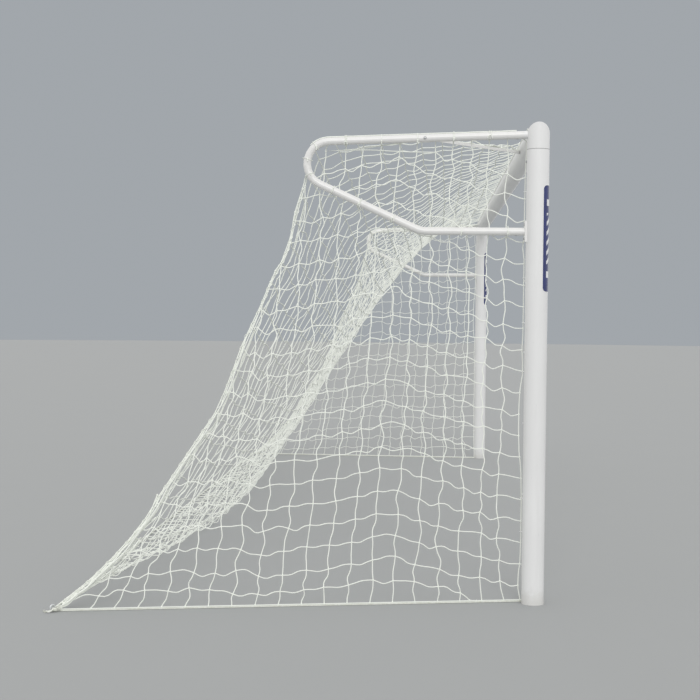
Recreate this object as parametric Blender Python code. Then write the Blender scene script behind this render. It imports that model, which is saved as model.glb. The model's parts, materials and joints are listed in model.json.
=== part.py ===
"""Socketed soccer goal: two round posts that drop into ground sleeves, a crossbar on
mitred corner castings, a bent net support with a stay behind each post, and a box net.

Metres, +Z up. The origin is on the ground, on the goal line, midway between the posts.
+X runs along the goal line and +Y from the goal line towards the net. Much of the goal
is laid out from one post's axis: "out" is the distance outboard of it, "inset" inboard."""
import math

import bmesh
import bpy
from mathutils import Matrix, Vector

# Goal frame
GOAL_WIDTH = 7.32          # clear width between the posts
GOAL_HEIGHT = 2.44         # ground to the underside of the crossbar
POST_DIAMETER = 0.12
POST_WALL = 0.0035
POST_SIDES = 36

# Ground sockets
SOCKET_DEPTH = 0.55        # ground to the floor that the post stands on
SOCKET_COVER = 0.02        # turf over the rim of the sleeve
SOCKET_CLEARANCE = 0.0015  # all round between post and sleeve
SOCKET_WALL = 0.004
RIM_WIDTH = 0.014
RIM_THICKNESS = 0.006
SOCKET_SIDES = 24
BASE_THICKNESS = 0.008
BASE_SPIGOT = 0.016
DRAIN_DIAMETER = 0.03

# Plastic foot in the bottom of each post
FOOT_FLANGE = 0.006
FOOT_INSERT = 0.04
FOOT_WALL = 0.005

# Corner castings
CORNER_LEG = 0.02          # casting past the inner corner, down the post and along the bar
CORNER_WALL = 0.0075
SPIGOT_LENGTH = 0.13

# Net support: one bent tube behind each post
SUPPORT_DIAMETER = 0.042
SUPPORT_WALL = 0.003
SUPPORT_SIDES = 16
SUPPORT_REACH = 1.23       # post axis to the rearmost point of the tube's centre line
SUPPORT_DROP = 0.515       # crossbar axis down to the lower end of the tube
SUPPORT_DROOP = math.radians(2.0)
DIAGONAL_SLOPE = math.radians(24.5)
TIP_RADIUS = 0.12
ELBOW_RADIUS = 0.15
TIP_STEPS = 10
ELBOW_STEPS = 4
BOSS_LENGTH = 0.018        # the tube's ends stand off the post's surface by this much
TUBE_INSERT = 0.055        # spigot inside each tube end
SCREW_PLACE = 0.033        # from the tube's end back to its screw

# Saddle that carries the lower end of the tube
SADDLE_WIDTH = 0.052
SADDLE_HEIGHT = 0.11
SADDLE_THICKNESS = 0.008
SADDLE_EDGE = 0.003

# Stay from the support's upper tube to the back of the crossbar
STAY_BACK = 0.60           # post axis back to the bolt in the tube
STAY_INBOARD = 0.62        # post axis along the crossbar to the other bolt
STAY_HEIGHT = 0.016
STAY_THICKNESS = 0.005
STAY_TAB = 0.035

# Fasteners
BOLT_DIAMETER = 0.008
BOLT_HEAD_DIAMETER = 0.016
BOLT_HEAD_HEIGHT = 0.005
BOLT_BITE = 0.016          # bolt past the outside of the tube that it holds
NUT_HEIGHT = 0.0065
NUT_THREAD = 0.001         # thread that stands out of a nut
SCREW_DIAMETER = 0.005
SCREW_HEAD_DIAMETER = 0.009
SCREW_HEAD_HEIGHT = 0.0025
SCREW_BITE = 0.009
BOLT_SIDES = 10

# Label on the field side of each post
LABEL_HEIGHT = 0.57
LABEL_DROP = 0.208         # underside of the crossbar down to the label's top edge
LABEL_HALF_ANGLE = math.radians(65)
LABEL_THICKNESS = 0.0006
LABEL_CORNER = 0.03
LABEL_CORNER_STEPS = 4

# Net
TWINE = 0.006
NET_CLEAR = 0.013          # the side panels stand off the support's tubes by this much
ROOF_CLEAR = 0.011         # the roof's side edge lies this far above the stay
NET_FREE = 0.05            # the side panels hang free from this far below the lower tube
NET_REACH = 2.48           # goal line to the rear ground line
NET_OUTSET = {"left": 0.45, "right": 0.05}  # rear ground corner outboard of the post axis
NET_CORNER = 0.035         # the bottom strings end this far short of the ground corner
SEAM_GAP = 0.009           # between the edge strings of two panels
ROOF_COLUMNS = 16
ROOF_ROWS = 3
BACK_ROWS = 6
SIDE_COLUMNS = 6

# Shape of the hanging net across the goal line, as distance back and height
MID_TOUCH = 2.10           # goal line to where the slack net meets the ground at mid-span
MID_FRONT_PULL = (0.81, 2.25)
MID_REAR_PULL = (1.44, 0.87)
MID_RIDGE = 0.414          # share of the mid-span curve that belongs to the roof
SEAM_UPPER_PULL = (1.32, 1.55)
SEAM_LOWER_PULL = (1.85, 0.50)
RIDGE_ANGLE = math.radians(45)  # where the ridge crosses the support's tip

# Net hooks welded to the posts and the crossbar
HOOK_THICKNESS = 0.003
HOOK_WIDTH = 0.012

# Ground rope and pegs
ROPE_DIAMETER = 0.008
ROPE_BEND_STEPS = 5
PEG_DIAMETER = 0.01
PEG_DEPTH = 0.24
PEG_POINT = 0.05           # length of the peg's taper
PEG_POINT_SHARE = 0.15     # of the peg's radius, left at its tip
PEG_HOOK = 0.0125
PEG_RISE = 0.021           # ground to where the hook begins to turn
PEG_TIP = 0.006            # ground to the end of the hook
PEG_HOOK_STEPS = 8

# Clearances
SEAT_GAP = 0.0003          # between pieces that rest on each other
FIT_CLEARANCE = 0.0005     # all round between a spigot and its tube
HOLE_CLEARANCE = 0.0004    # all round between a bolt and its hole
WELD_OVERLAP = 0.0015      # how far a hook's root sinks into its tube
MERGE = 0.00005
SMOOTH_ANGLE = math.radians(35)

# Sizes that follow from those above
POST_RADIUS = POST_DIAMETER / 2
POST_BORE = POST_RADIUS - POST_WALL
HALF_SPAN = GOAL_WIDTH / 2 + POST_RADIUS
BAR_Z = GOAL_HEIGHT + POST_RADIUS
CORNER_SEAM = GOAL_HEIGHT - CORNER_LEG
BAR_SEAM = POST_RADIUS + CORNER_LEG
SPIGOT_RADIUS = POST_BORE - FIT_CLEARANCE
CORNER_BORE = SPIGOT_RADIUS - CORNER_WALL
SLEEVE_BORE = POST_RADIUS + SOCKET_CLEARANCE
SLEEVE_RADIUS = SLEEVE_BORE + SOCKET_WALL
TUBE_RADIUS = SUPPORT_DIAMETER / 2
TUBE_BORE = TUBE_RADIUS - SUPPORT_WALL
TUBE_FACE = POST_RADIUS + BOSS_LENGTH
LOWER_Z = BAR_Z - SUPPORT_DROP
TIP_Y = SUPPORT_REACH - TIP_RADIUS
TIP_Z = BAR_Z - TIP_Y * math.tan(SUPPORT_DROOP) - TIP_RADIUS / math.cos(SUPPORT_DROOP)
STAY_Z = BAR_Z - STAY_BACK * math.tan(SUPPORT_DROOP)
LABEL_TOP = GOAL_HEIGHT - LABEL_DROP
CORNER_BOLT_Z = CORNER_SEAM - SPIGOT_LENGTH / 2
CORNER_BOLT_INSET = BAR_SEAM + SPIGOT_LENGTH / 2
SADDLE_BOLT_RISE = (SADDLE_HEIGHT / 2 + TUBE_RADIUS) / 2
BOLT_HOLE = BOLT_DIAMETER / 2 + HOLE_CLEARANCE
SCREW_HOLE = SCREW_DIAMETER / 2 + HOLE_CLEARANCE
WALL_HOLE_LENGTH = 2 * BOLT_BITE + POST_WALL
TWINE_RADIUS = TWINE / 2
ROPE_RADIUS = ROPE_DIAMETER / 2
PEG_RADIUS = PEG_DIAMETER / 2
NET_INSET = TUBE_RADIUS + NET_CLEAR
NET_FRONT = math.sqrt((POST_RADIUS + SEAT_GAP + TWINE_RADIUS) ** 2 - NET_INSET ** 2)
NET_FLOOR = ROPE_DIAMETER + SEAT_GAP + TWINE_RADIUS
FREE_Z = LOWER_Z - TUBE_RADIUS - NET_FREE
ROOF_RISE = STAY_HEIGHT / 2 + ROOF_CLEAR
SIDE_DROP = (STAY_HEIGHT + STAY_TAB * math.tan(SUPPORT_DROOP)) / 2 + math.sqrt(2) * TWINE_RADIUS + SEAT_GAP
SIDES = {"left": -1, "right": 1}


def paint(name, colour, roughness, metallic=0.0):
    """A plain Principled material."""
    material = bpy.data.materials.new(name)
    material.use_nodes = True
    shader = material.node_tree.nodes["Principled BSDF"]
    shader.inputs["Base Color"].default_value = (*colour, 1.0)
    shader.inputs["Roughness"].default_value = roughness
    shader.inputs["Metallic"].default_value = metallic
    return material


def place(name, mesh, material, location=(0, 0, 0)):
    """Links a mesh as a new object, with its material if it is a piece of the goal."""
    item = bpy.data.objects.new(name, mesh)
    item.location = location
    bpy.context.collection.objects.link(item)
    if material:
        mesh.materials.append(material)
    return item


def from_bmesh(name, shape, material, closed=True):
    """Turns a bmesh into an object, with a closed shape's faces out and round parts smooth."""
    if closed:
        bmesh.ops.recalc_face_normals(shape, faces=shape.faces)
    mesh = bpy.data.meshes.new(name)
    shape.to_mesh(mesh)
    shape.free()
    mesh.shade_smooth()
    mesh.set_sharp_from_angle(angle=SMOOTH_ANGLE)
    return place(name, mesh, material)


def combine(item, operation, tool):
    """Adds a guide shape to a piece, or cuts it out. Guides aren't pieces of the goal."""
    tool.hide_render = True
    tool.display_type = "WIRE"
    step = item.modifiers.new(operation.title(), "BOOLEAN")
    step.operation = operation
    step.solver = "EXACT"
    step.object = tool


def turned(name, outline, sides, material, location=(0, 0, 0), direction=(0, 0, 1), ring=False):
    """A turned piece. The outline gives radius and height, down the outer side."""
    mesh = bpy.data.meshes.new(name)
    edges = [(i, i + 1) for i in range(len(outline) - 1)]
    if ring:
        edges.append((len(outline) - 1, 0))
    mesh.from_pydata([(radius, 0.0, height) for radius, height in outline], edges, [])
    item = place(name, mesh, material, location)
    item.rotation_euler = Vector(direction).to_track_quat("Z", "Y").to_euler()
    turn = item.modifiers.new("Turn", "SCREW")
    turn.axis = "Z"
    turn.steps = sides
    turn.render_steps = sides
    turn.use_merge_vertices = True
    turn.merge_threshold = MERGE
    turn.use_smooth_shade = True
    return item


def rods(name, places, sides):
    """One guide made of rods: each has a centre, a direction, a radius and a length."""
    shape = bmesh.new()
    for centre, direction, radius, length in places:
        turn = Vector(direction).to_track_quat("Z", "Y").to_matrix().to_4x4()
        bmesh.ops.create_cone(
            shape, cap_ends=True, segments=sides, radius1=radius, radius2=radius, depth=length,
            matrix=Matrix.Translation(centre) @ turn)
    return from_bmesh(name, shape, None)


def lofted(name, rings, material, capped=False):
    """A solid skinned over rings of points: with end caps, or with its last ring on its first."""
    shape = bmesh.new()
    loops = [[shape.verts.new(point) for point in ring] for ring in rings]
    following = loops[1:] if capped else loops[1:] + loops[:1]
    for near, far in zip(loops, following):
        for i, vertex in enumerate(near):
            j = (i + 1) % len(near)
            shape.faces.new((vertex, near[j], far[j], far[i]))
    if capped:
        shape.faces.new(loops[0])
        shape.faces.new(loops[-1])
    return from_bmesh(name, shape, material)


def extrude_outline(shape, outline, push):
    """Adds one solid to a bmesh: a flat outline pushed along a vector."""
    face = shape.faces.new([shape.verts.new(point) for point in outline])
    pushed = bmesh.ops.extrude_face_region(shape, geom=[face])
    moved = [item for item in pushed["geom"] if isinstance(item, bmesh.types.BMVert)]
    bmesh.ops.translate(shape, verts=moved, vec=push)


def swept(name, points, radius, sides, material, wall=0.0, tip_share=1.0):
    """A round bar or, with a wall, an open tube along a line of points."""
    curve = bpy.data.curves.new(name, "CURVE")
    curve.dimensions = "3D"
    curve.bevel_depth = radius
    curve.bevel_resolution = sides // 2 - 2
    curve.use_fill_caps = wall == 0.0
    line = curve.splines.new("POLY")
    line.points.add(len(points) - 1)
    for spot, point in zip(line.points, points):
        spot.co = (*point, 1.0)
    line.points[0].radius = tip_share
    pattern = place(name + "_line", curve, None)
    depsgraph = bpy.context.evaluated_depsgraph_get()
    mesh = bpy.data.meshes.new_from_object(pattern.evaluated_get(depsgraph))
    shape = bmesh.new()
    shape.from_mesh(mesh)
    bmesh.ops.remove_doubles(shape, verts=shape.verts, dist=MERGE)
    bpy.data.objects.remove(pattern)
    bpy.data.curves.remove(curve)
    bpy.data.meshes.remove(mesh)
    item = from_bmesh(name, shape, material, closed=wall == 0.0)
    if wall:
        skin = item.modifiers.new("Wall", "SOLIDIFY")
        skin.thickness = wall
        skin.offset = -1.0
    return item


def bolt(name, seat, direction, length, material, grip=0.0):
    """A round-headed bolt seated at a point, with a nut past its grip where one is given."""
    head = BOLT_HEAD_DIAMETER / 2
    core = BOLT_DIAMETER / 2
    outline = [
        (0, BOLT_HEAD_HEIGHT), (core, BOLT_HEAD_HEIGHT), (head, BOLT_HEAD_HEIGHT / 3), (head, 0), (core, 0)]
    if grip:
        outline += [(core, -grip), (head, -grip), (head, -grip - NUT_HEIGHT), (core, -grip - NUT_HEIGHT)]
    outline += [(core, -length), (0, -length)]
    turned(name, outline, BOLT_SIDES, material, seat, direction)


def arc(centre, radius, start, end, steps):
    """Points round an arc from one angle to another, both ends counted."""
    angles = [start + (end - start) * i / steps for i in range(steps + 1)]
    return [(centre[0] + radius * math.cos(a), centre[1] + radius * math.sin(a)) for a in angles]


def cubic(start, start_pull, end_pull, end, t):
    """A point on a cubic curve, as distance back and height."""
    shares = ((1 - t) ** 3, 3 * t * (1 - t) ** 2, 3 * t ** 2 * (1 - t), t ** 3)
    corners = (start, start_pull, end_pull, end)
    return tuple(sum(share * corner[i] for share, corner in zip(shares, corners)) for i in range(2))


def at_side(side, out, back, height):
    """World place of a point laid out from one post's axis."""
    return (SIDES[side] * (HALF_SPAN + out), back, height)


def tube_way():
    """Direction of the upper tube, away from the post."""
    return Vector((0, math.cos(SUPPORT_DROOP), -math.sin(SUPPORT_DROOP)))


def upper_tube_z(back):
    """Height of the upper tube's axis at a distance behind the post's axis."""
    return BAR_Z - back * math.tan(SUPPORT_DROOP)


def on_tip(angle, radius=TIP_RADIUS):
    """A point round the support's tip, as distance back and height."""
    return (TIP_Y + radius * math.cos(angle), TIP_Z + radius * math.sin(angle))


def make_sockets(materials):
    """Ground sleeves with a rim, and the drained plates that the posts stand on."""
    top = -SOCKET_COVER
    floor = -SOCKET_DEPTH
    shoulder = floor - BASE_SPIGOT
    rim = SLEEVE_RADIUS + RIM_WIDTH
    drain = DRAIN_DIAMETER / 2
    collar = SLEEVE_BORE - FIT_CLEARANCE
    for side in SIDES:
        spot = at_side(side, 0, 0, 0)
        turned("socket_sleeve_" + side, [
            (rim, top), (rim, top - RIM_THICKNESS), (SLEEVE_RADIUS, top - RIM_THICKNESS),
            (SLEEVE_RADIUS, shoulder), (SLEEVE_BORE, shoulder), (SLEEVE_BORE, top)],
            SOCKET_SIDES, materials["alloy"], spot, ring=True)
        turned("socket_base_" + side, [
            (drain, floor), (collar, floor), (collar, shoulder - SEAT_GAP),
            (SLEEVE_RADIUS, shoulder - SEAT_GAP), (SLEEVE_RADIUS, shoulder - SEAT_GAP - BASE_THICKNESS),
            (drain, shoulder - SEAT_GAP - BASE_THICKNESS)],
            SOCKET_SIDES, materials["plastic"], spot, ring=True)


def hook_outline():
    """Hook behind and round an edge string, as inset and distance back from a tube's axis."""
    string = Vector((NET_INSET, NET_FRONT))
    outward = string.normalized()
    behind = Vector((-outward.y, outward.x))
    clear = TWINE_RADIUS + SEAT_GAP
    outer = clear + HOOK_THICKNESS
    root = POST_RADIUS - WELD_OVERLAP - string.length
    corners = ((root, clear), (root, outer), (outer, outer), (outer, -clear), (clear, -clear), (clear, clear))
    return [string + outward * reach + behind * across for reach, across in corners]


def side_rows():
    """Heights of the side panel's rows below the support, from the top one to the ground."""
    count = BACK_ROWS - 1
    return [FREE_Z + (NET_FLOOR - FREE_Z) * i / count for i in range(count + 1)]


def make_posts(materials):
    """Posts with their net hooks and bolt holes, and the plastic foot in each."""
    sole = SEAT_GAP - SOCKET_DEPTH
    flange = sole + FOOT_FLANGE
    bottom = flange + SEAT_GAP
    top = CORNER_SEAM - SEAT_GAP
    plug = POST_BORE - FIT_CLEARANCE
    hollow = plug - FOOT_WALL
    rows = side_rows()
    hook_heights = [(low + high) / 2 for low, high in zip(rows, rows[1:])]
    bolt_heights = (CORNER_BOLT_Z, LOWER_Z + SADDLE_BOLT_RISE, LOWER_Z - SADDLE_BOLT_RISE)
    for side in SIDES:
        spot = at_side(side, 0, 0, 0)
        post = turned("post_" + side, [
            (POST_RADIUS, top), (POST_RADIUS, bottom), (POST_BORE, bottom), (POST_BORE, top)],
            POST_SIDES, materials["white"], spot, ring=True)
        hooks = bmesh.new()
        for height in hook_heights:
            outline = [at_side(side, -point.x, point.y, height - HOOK_WIDTH / 2) for point in hook_outline()]
            extrude_outline(hooks, outline, (0, 0, HOOK_WIDTH))
        combine(post, "UNION", from_bmesh("hooks_post_" + side, hooks, None))
        combine(post, "DIFFERENCE", rods("holes_post_" + side, [
            (at_side(side, 0, POST_RADIUS, height), (0, 1, 0), BOLT_HOLE, WALL_HOLE_LENGTH)
            for height in bolt_heights], BOLT_SIDES))
        turned("post_foot_" + side, [
            (0, flange), (hollow, flange), (hollow, flange + FOOT_INSERT), (plug, flange + FOOT_INSERT),
            (plug, flange), (POST_RADIUS, flange), (POST_RADIUS, sole), (0, sole)],
            SOCKET_SIDES, materials["plastic"], spot)


def corner_ring(side, radius, leg, station=0.0):
    """A ring of points round one leg of a corner casting, or round its mitre."""
    points = []
    for i in range(POST_SIDES):
        angle = 2 * math.pi * i / POST_SIDES
        across = radius * math.cos(angle)
        inset = station if leg == "bar" else across
        height = station if leg == "post" else BAR_Z - across
        points.append(at_side(side, -inset, radius * math.sin(angle), height))
    return points


def tube_stub(root):
    """Outline of the boss and spigot that carry a tube's end, from its far end to its root."""
    spigot = TUBE_BORE - FIT_CLEARANCE
    end = TUBE_FACE + TUBE_INSERT
    return [
        (0, end), (spigot, end), (spigot, TUBE_FACE),
        (TUBE_RADIUS, TUBE_FACE), (TUBE_RADIUS, root), (0, root)]


def screw_spot(side, height, way):
    """Where the screw under a tube's end meets the tube, and the way its head points."""
    down = Vector((0, way.z, -way.y))
    centre = Vector(at_side(side, 0, 0, height)) + way * (TUBE_FACE + SCREW_PLACE)
    return centre + down * TUBE_RADIUS, down


def make_corners(materials):
    """Hollow mitred castings with a spigot in the post, one in the bar and the tube's boss."""
    post_end = CORNER_SEAM - SPIGOT_LENGTH
    bar_end = BAR_SEAM + SPIGOT_LENGTH
    for side in SIDES:
        casting = lofted("corner_" + side, [
            corner_ring(side, SPIGOT_RADIUS, "post", post_end),
            corner_ring(side, SPIGOT_RADIUS, "post", CORNER_SEAM),
            corner_ring(side, POST_RADIUS, "post", CORNER_SEAM),
            corner_ring(side, POST_RADIUS, "mitre"),
            corner_ring(side, POST_RADIUS, "bar", BAR_SEAM),
            corner_ring(side, SPIGOT_RADIUS, "bar", BAR_SEAM),
            corner_ring(side, SPIGOT_RADIUS, "bar", bar_end),
            corner_ring(side, CORNER_BORE, "bar", bar_end),
            corner_ring(side, CORNER_BORE, "mitre"),
            corner_ring(side, CORNER_BORE, "post", post_end)], materials["white"])
        stub = turned("stub_corner_" + side, tube_stub(POST_RADIUS - CORNER_WALL), SUPPORT_SIDES, None,
                      at_side(side, 0, 0, BAR_Z), tube_way())
        combine(casting, "UNION", stub)
        post_bolt = at_side(side, 0, POST_RADIUS, CORNER_BOLT_Z)
        bar_bolt = at_side(side, -CORNER_BOLT_INSET, POST_RADIUS, BAR_Z)
        screw, down = screw_spot(side, BAR_Z, tube_way())
        combine(casting, "DIFFERENCE", rods("holes_corner_" + side, [
            (post_bolt, (0, 1, 0), BOLT_HOLE, WALL_HOLE_LENGTH),
            (bar_bolt, (0, 1, 0), BOLT_HOLE, WALL_HOLE_LENGTH),
            (screw, down, SCREW_HOLE, 2 * TUBE_RADIUS)], BOLT_SIDES))
        lift = Vector((0, SEAT_GAP, 0))
        bolt("corner_post_bolt_" + side, Vector(post_bolt) + lift, (0, 1, 0), BOLT_BITE, materials["steel"])
        bolt("corner_bar_bolt_" + side, Vector(bar_bolt) + lift, (0, 1, 0), BOLT_BITE, materials["steel"])


def make_crossbar(materials):
    """Crossbar with its net hooks, midway between the roof's columns, and its bolt holes."""
    half = HALF_SPAN - BAR_SEAM - SEAT_GAP
    bar = turned("crossbar", [
        (POST_RADIUS, half), (POST_RADIUS, -half), (POST_BORE, -half), (POST_BORE, half)],
        POST_SIDES, materials["white"], (0, 0, BAR_Z), (1, 0, 0), ring=True)
    hooks = bmesh.new()
    span = 2 * (HALF_SPAN - NET_INSET)
    for i in range(ROOF_COLUMNS):
        middle = span * ((i + 0.5) / ROOF_COLUMNS - 0.5)
        outline = [(middle - HOOK_WIDTH / 2, point.y, BAR_Z + point.x) for point in hook_outline()]
        extrude_outline(hooks, outline, (HOOK_WIDTH, 0, 0))
    combine(bar, "UNION", from_bmesh("hooks_bar", hooks, None))
    places = []
    for side in SIDES:
        for inset, height in ((CORNER_BOLT_INSET, BAR_Z), (STAY_INBOARD, STAY_Z)):
            spot = at_side(side, -inset, POST_RADIUS, height)
            places.append((spot, (0, 1, 0), BOLT_HOLE, WALL_HOLE_LENGTH))
    combine(bar, "DIFFERENCE", rods("holes_bar", places, BOLT_SIDES))


def support_line():
    """Centre line of the net support, from its upper end round the tip to its lower end."""
    way = tube_way()
    start = TUBE_FACE + SEAT_GAP
    slope = DIAGONAL_SLOPE - math.pi / 2
    tip = arc((TIP_Y, TIP_Z), TIP_RADIUS, math.pi / 2 - SUPPORT_DROOP, slope, TIP_STEPS)
    run = (tip[-1][1] - LOWER_Z) / math.tan(DIAGONAL_SLOPE)
    bend_y = tip[-1][0] - run - ELBOW_RADIUS * math.tan(DIAGONAL_SLOPE / 2)
    elbow = arc((bend_y, LOWER_Z + ELBOW_RADIUS), ELBOW_RADIUS, slope, -math.pi / 2, ELBOW_STEPS)
    return [(start * way.y, BAR_Z + start * way.z), *tip, *elbow, (start, LOWER_Z)]


def make_supports(materials):
    """Bent tubes, each screwed to a stub at both ends."""
    for side in SIDES:
        points = [at_side(side, 0, back, height) for back, height in support_line()]
        support = swept("net_support_" + side, points, TUBE_RADIUS, SUPPORT_SIDES, materials["white"],
                        wall=SUPPORT_WALL)
        holes = [(at_side(side, 0, STAY_BACK, STAY_Z), (1, 0, 0), BOLT_HOLE, 3 * TUBE_RADIUS)]
        for word, height, way in (("upper", BAR_Z, tube_way()), ("lower", LOWER_Z, Vector((0, 1, 0)))):
            spot, down = screw_spot(side, height, way)
            holes.append((spot, down, SCREW_HOLE, TUBE_RADIUS))
            head = SCREW_HEAD_DIAMETER / 2
            core = SCREW_DIAMETER / 2
            turned("support_screw_" + word + "_" + side, [
                (0, SCREW_HEAD_HEIGHT), (core, SCREW_HEAD_HEIGHT), (head, SCREW_HEAD_HEIGHT / 3), (head, 0),
                (core, 0), (core, -SCREW_BITE), (0, -SCREW_BITE)],
                BOLT_SIDES, materials["steel"], spot + down * SEAT_GAP, down)
        combine(support, "DIFFERENCE", rods("holes_support_" + side, holes, BOLT_SIDES))


def make_saddles(materials):
    """Saddles on the backs of the posts, with the stubs for the tubes' lower ends."""
    back = POST_RADIUS + SADDLE_THICKNESS
    front = POST_RADIUS / 2
    wrap = POST_RADIUS + SEAT_GAP
    for side in SIDES:
        spot = at_side(side, 0, 0, LOWER_Z)
        shape = bmesh.new()
        block = Matrix.Diagonal((SADDLE_WIDTH, back - front, SADDLE_HEIGHT, 1))
        middle = Matrix.Translation(at_side(side, 0, (back + front) / 2, LOWER_Z))
        bmesh.ops.create_cube(shape, size=1.0, matrix=middle @ block)
        rear = [edge for edge in shape.edges if all(vert.co.y > back - MERGE for vert in edge.verts)]
        bmesh.ops.bevel(shape, geom=rear, offset=SADDLE_EDGE, segments=1, affect="EDGES")
        saddle = from_bmesh("support_saddle_" + side, shape, materials["white"])
        stub = turned("stub_saddle_" + side, tube_stub(back - SADDLE_THICKNESS / 2), SUPPORT_SIDES, None,
                      spot, (0, 1, 0))
        combine(saddle, "UNION", stub)
        hollow = turned("hollow_saddle_" + side, [
            (0, SADDLE_HEIGHT), (wrap, SADDLE_HEIGHT), (wrap, -SADDLE_HEIGHT), (0, -SADDLE_HEIGHT)],
            POST_SIDES, None, spot)
        combine(saddle, "DIFFERENCE", hollow)
        screw, down = screw_spot(side, LOWER_Z, Vector((0, 1, 0)))
        holes = [(screw, down, SCREW_HOLE, 2 * TUBE_RADIUS)]
        for word, rise in (("upper", SADDLE_BOLT_RISE), ("lower", -SADDLE_BOLT_RISE)):
            hole = at_side(side, 0, POST_RADIUS, LOWER_Z + rise)
            holes.append((hole, (0, 1, 0), BOLT_HOLE, WALL_HOLE_LENGTH))
            bolt("saddle_bolt_" + word + "_" + side, at_side(side, 0, back + SEAT_GAP, LOWER_Z + rise),
                 (0, 1, 0), SADDLE_THICKNESS + BOLT_BITE, materials["steel"])
        combine(saddle, "DIFFERENCE", rods("holes_saddle_" + side, holes, BOLT_SIDES))


def strip_outline(points, thickness):
    """Plan outline of a flat bar on edge along a line of points, mitred where it bends."""
    ways = [(after - before).normalized() for before, after in zip(points, points[1:])]
    near = []
    far = []
    for i, point in enumerate(points):
        arriving = ways[max(i - 1, 0)]
        leaving = ways[min(i, len(ways) - 1)]
        middle = (arriving + leaving).normalized()
        offset = Vector((-middle.y, middle.x)) * (thickness / 2 / middle.dot(leaving))
        near.append(point + offset)
        far.append(point - offset)
    return near + far[::-1]


def make_stays(materials):
    """Flat stays from the side of each upper tube to the back of the crossbar."""
    tube_side = TUBE_RADIUS + SEAT_GAP
    nearest = abs(BAR_Z - STAY_Z) - STAY_HEIGHT / 2
    bar_face = math.sqrt(POST_RADIUS ** 2 - max(0.0, nearest) ** 2) + SEAT_GAP
    half = STAY_THICKNESS / 2
    line = [
        Vector((-tube_side - half, STAY_BACK + STAY_TAB / 2)),
        Vector((-tube_side - half, STAY_BACK - STAY_TAB / 2)),
        Vector((-STAY_INBOARD + STAY_TAB / 2, bar_face + half)),
        Vector((-STAY_INBOARD - STAY_TAB / 2, bar_face + half))]
    grip = 2 * tube_side + STAY_THICKNESS + SEAT_GAP
    for side, sign in SIDES.items():
        shape = bmesh.new()
        outline = [at_side(side, point.x, point.y, STAY_Z - STAY_HEIGHT / 2)
                   for point in strip_outline(line, STAY_THICKNESS)]
        extrude_outline(shape, outline, (0, 0, STAY_HEIGHT))
        stay = from_bmesh("stay_bar_" + side, shape, materials["white"])
        combine(stay, "DIFFERENCE", rods("holes_stay_" + side, [
            (at_side(side, -tube_side - half, STAY_BACK, STAY_Z), (1, 0, 0), BOLT_HOLE, 3 * STAY_THICKNESS),
            (at_side(side, -STAY_INBOARD, bar_face + half, STAY_Z), (0, 1, 0), BOLT_HOLE,
             3 * STAY_THICKNESS)], BOLT_SIDES))
        bolt("stay_tube_bolt_" + side, at_side(side, tube_side, STAY_BACK, STAY_Z), (sign, 0, 0),
             grip + NUT_HEIGHT + NUT_THREAD, materials["steel"], grip)
        seat = bar_face + STAY_THICKNESS + SEAT_GAP
        bolt("stay_bar_bolt_" + side, at_side(side, -STAY_INBOARD, seat, STAY_Z), (0, 1, 0),
             STAY_THICKNESS + BOLT_BITE, materials["steel"])


def facet_radius(angle, radius):
    """Distance from a post's axis to the flat of a many-sided tube at an angle."""
    step = 2 * math.pi / POST_SIDES
    from_middle = angle % step - step / 2
    return radius * math.cos(step / 2) / math.cos(from_middle)


def make_labels(materials):
    """Round-cornered labels bent over the field side of the posts."""
    inner = POST_RADIUS + SEAT_GAP
    width = LABEL_HALF_ANGLE * inner
    step = 2 * math.pi / POST_SIDES
    whole = int(LABEL_HALF_ANGLE / step)
    turns = {i * step for i in range(-whole, whole + 1)}
    for i in range(LABEL_CORNER_STEPS):
        back = LABEL_CORNER * (1 - math.cos(math.pi / 2 * i / LABEL_CORNER_STEPS))
        turns.update((LABEL_HALF_ANGLE - back / inner, back / inner - LABEL_HALF_ANGLE))
    for side in SIDES:
        rings = []
        for turn in sorted(turns):
            short = max(0.0, LABEL_CORNER - (width - abs(turn) * inner))
            drop = LABEL_CORNER - math.sqrt(LABEL_CORNER ** 2 - short ** 2)
            top = LABEL_TOP - drop
            bottom = LABEL_TOP - LABEL_HEIGHT + drop
            near = facet_radius(turn, inner)
            far = facet_radius(turn, inner + LABEL_THICKNESS)
            rings.append([
                at_side(side, radius * math.sin(turn), -radius * math.cos(turn), height)
                for radius, height in ((near, bottom), (near, top), (far, top), (far, bottom))])
        lofted("label_" + side, rings, materials["navy"], capped=True)


def seam_y(height):
    """How far back the rear seam lies at a height, found by halving."""
    start = (TIP_Y + TIP_RADIUS, TIP_Z)
    end = (NET_REACH, NET_FLOOR)
    low = 0.0
    high = 1.0
    for _ in range(30):
        middle = (low + high) / 2
        if cubic(start, SEAM_UPPER_PULL, SEAM_LOWER_PULL, end, middle)[1] > height:
            low = middle
        else:
            high = middle
    return cubic(start, SEAM_UPPER_PULL, SEAM_LOWER_PULL, end, high)[0]


def mid_point(t):
    """Profile of the slack net at mid-span, from the crossbar to where it meets the ground."""
    front = (NET_FRONT, BAR_Z + NET_INSET)
    return cubic(front, MID_FRONT_PULL, MID_REAR_PULL, (MID_TOUCH, NET_FLOOR), t)


def side_out(side, inset, back, height):
    """How far outboard a side panel lies: it spreads from the support to the rear peg."""
    along = (back - NET_FRONT) / (NET_REACH - NET_FRONT)
    down = max(0.0, (FREE_Z - height) / (FREE_Z - NET_FLOOR))
    return (NET_OUTSET[side] + inset) * along * down - inset


def hung(left, right, middle, u):
    """A point of a slack string between its two ends, sagging towards a mid-span point."""
    slack = 4 * u * (1 - u)
    taut = [a + (b - a) * u for a, b in zip(left, right)]
    sag = [(middle[0] - (left[1] + right[1]) / 2) * slack, (middle[1] - (left[2] + right[2]) / 2) * slack]
    return (taut[0], taut[1] + sag[0], taut[2] + sag[1])


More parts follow.
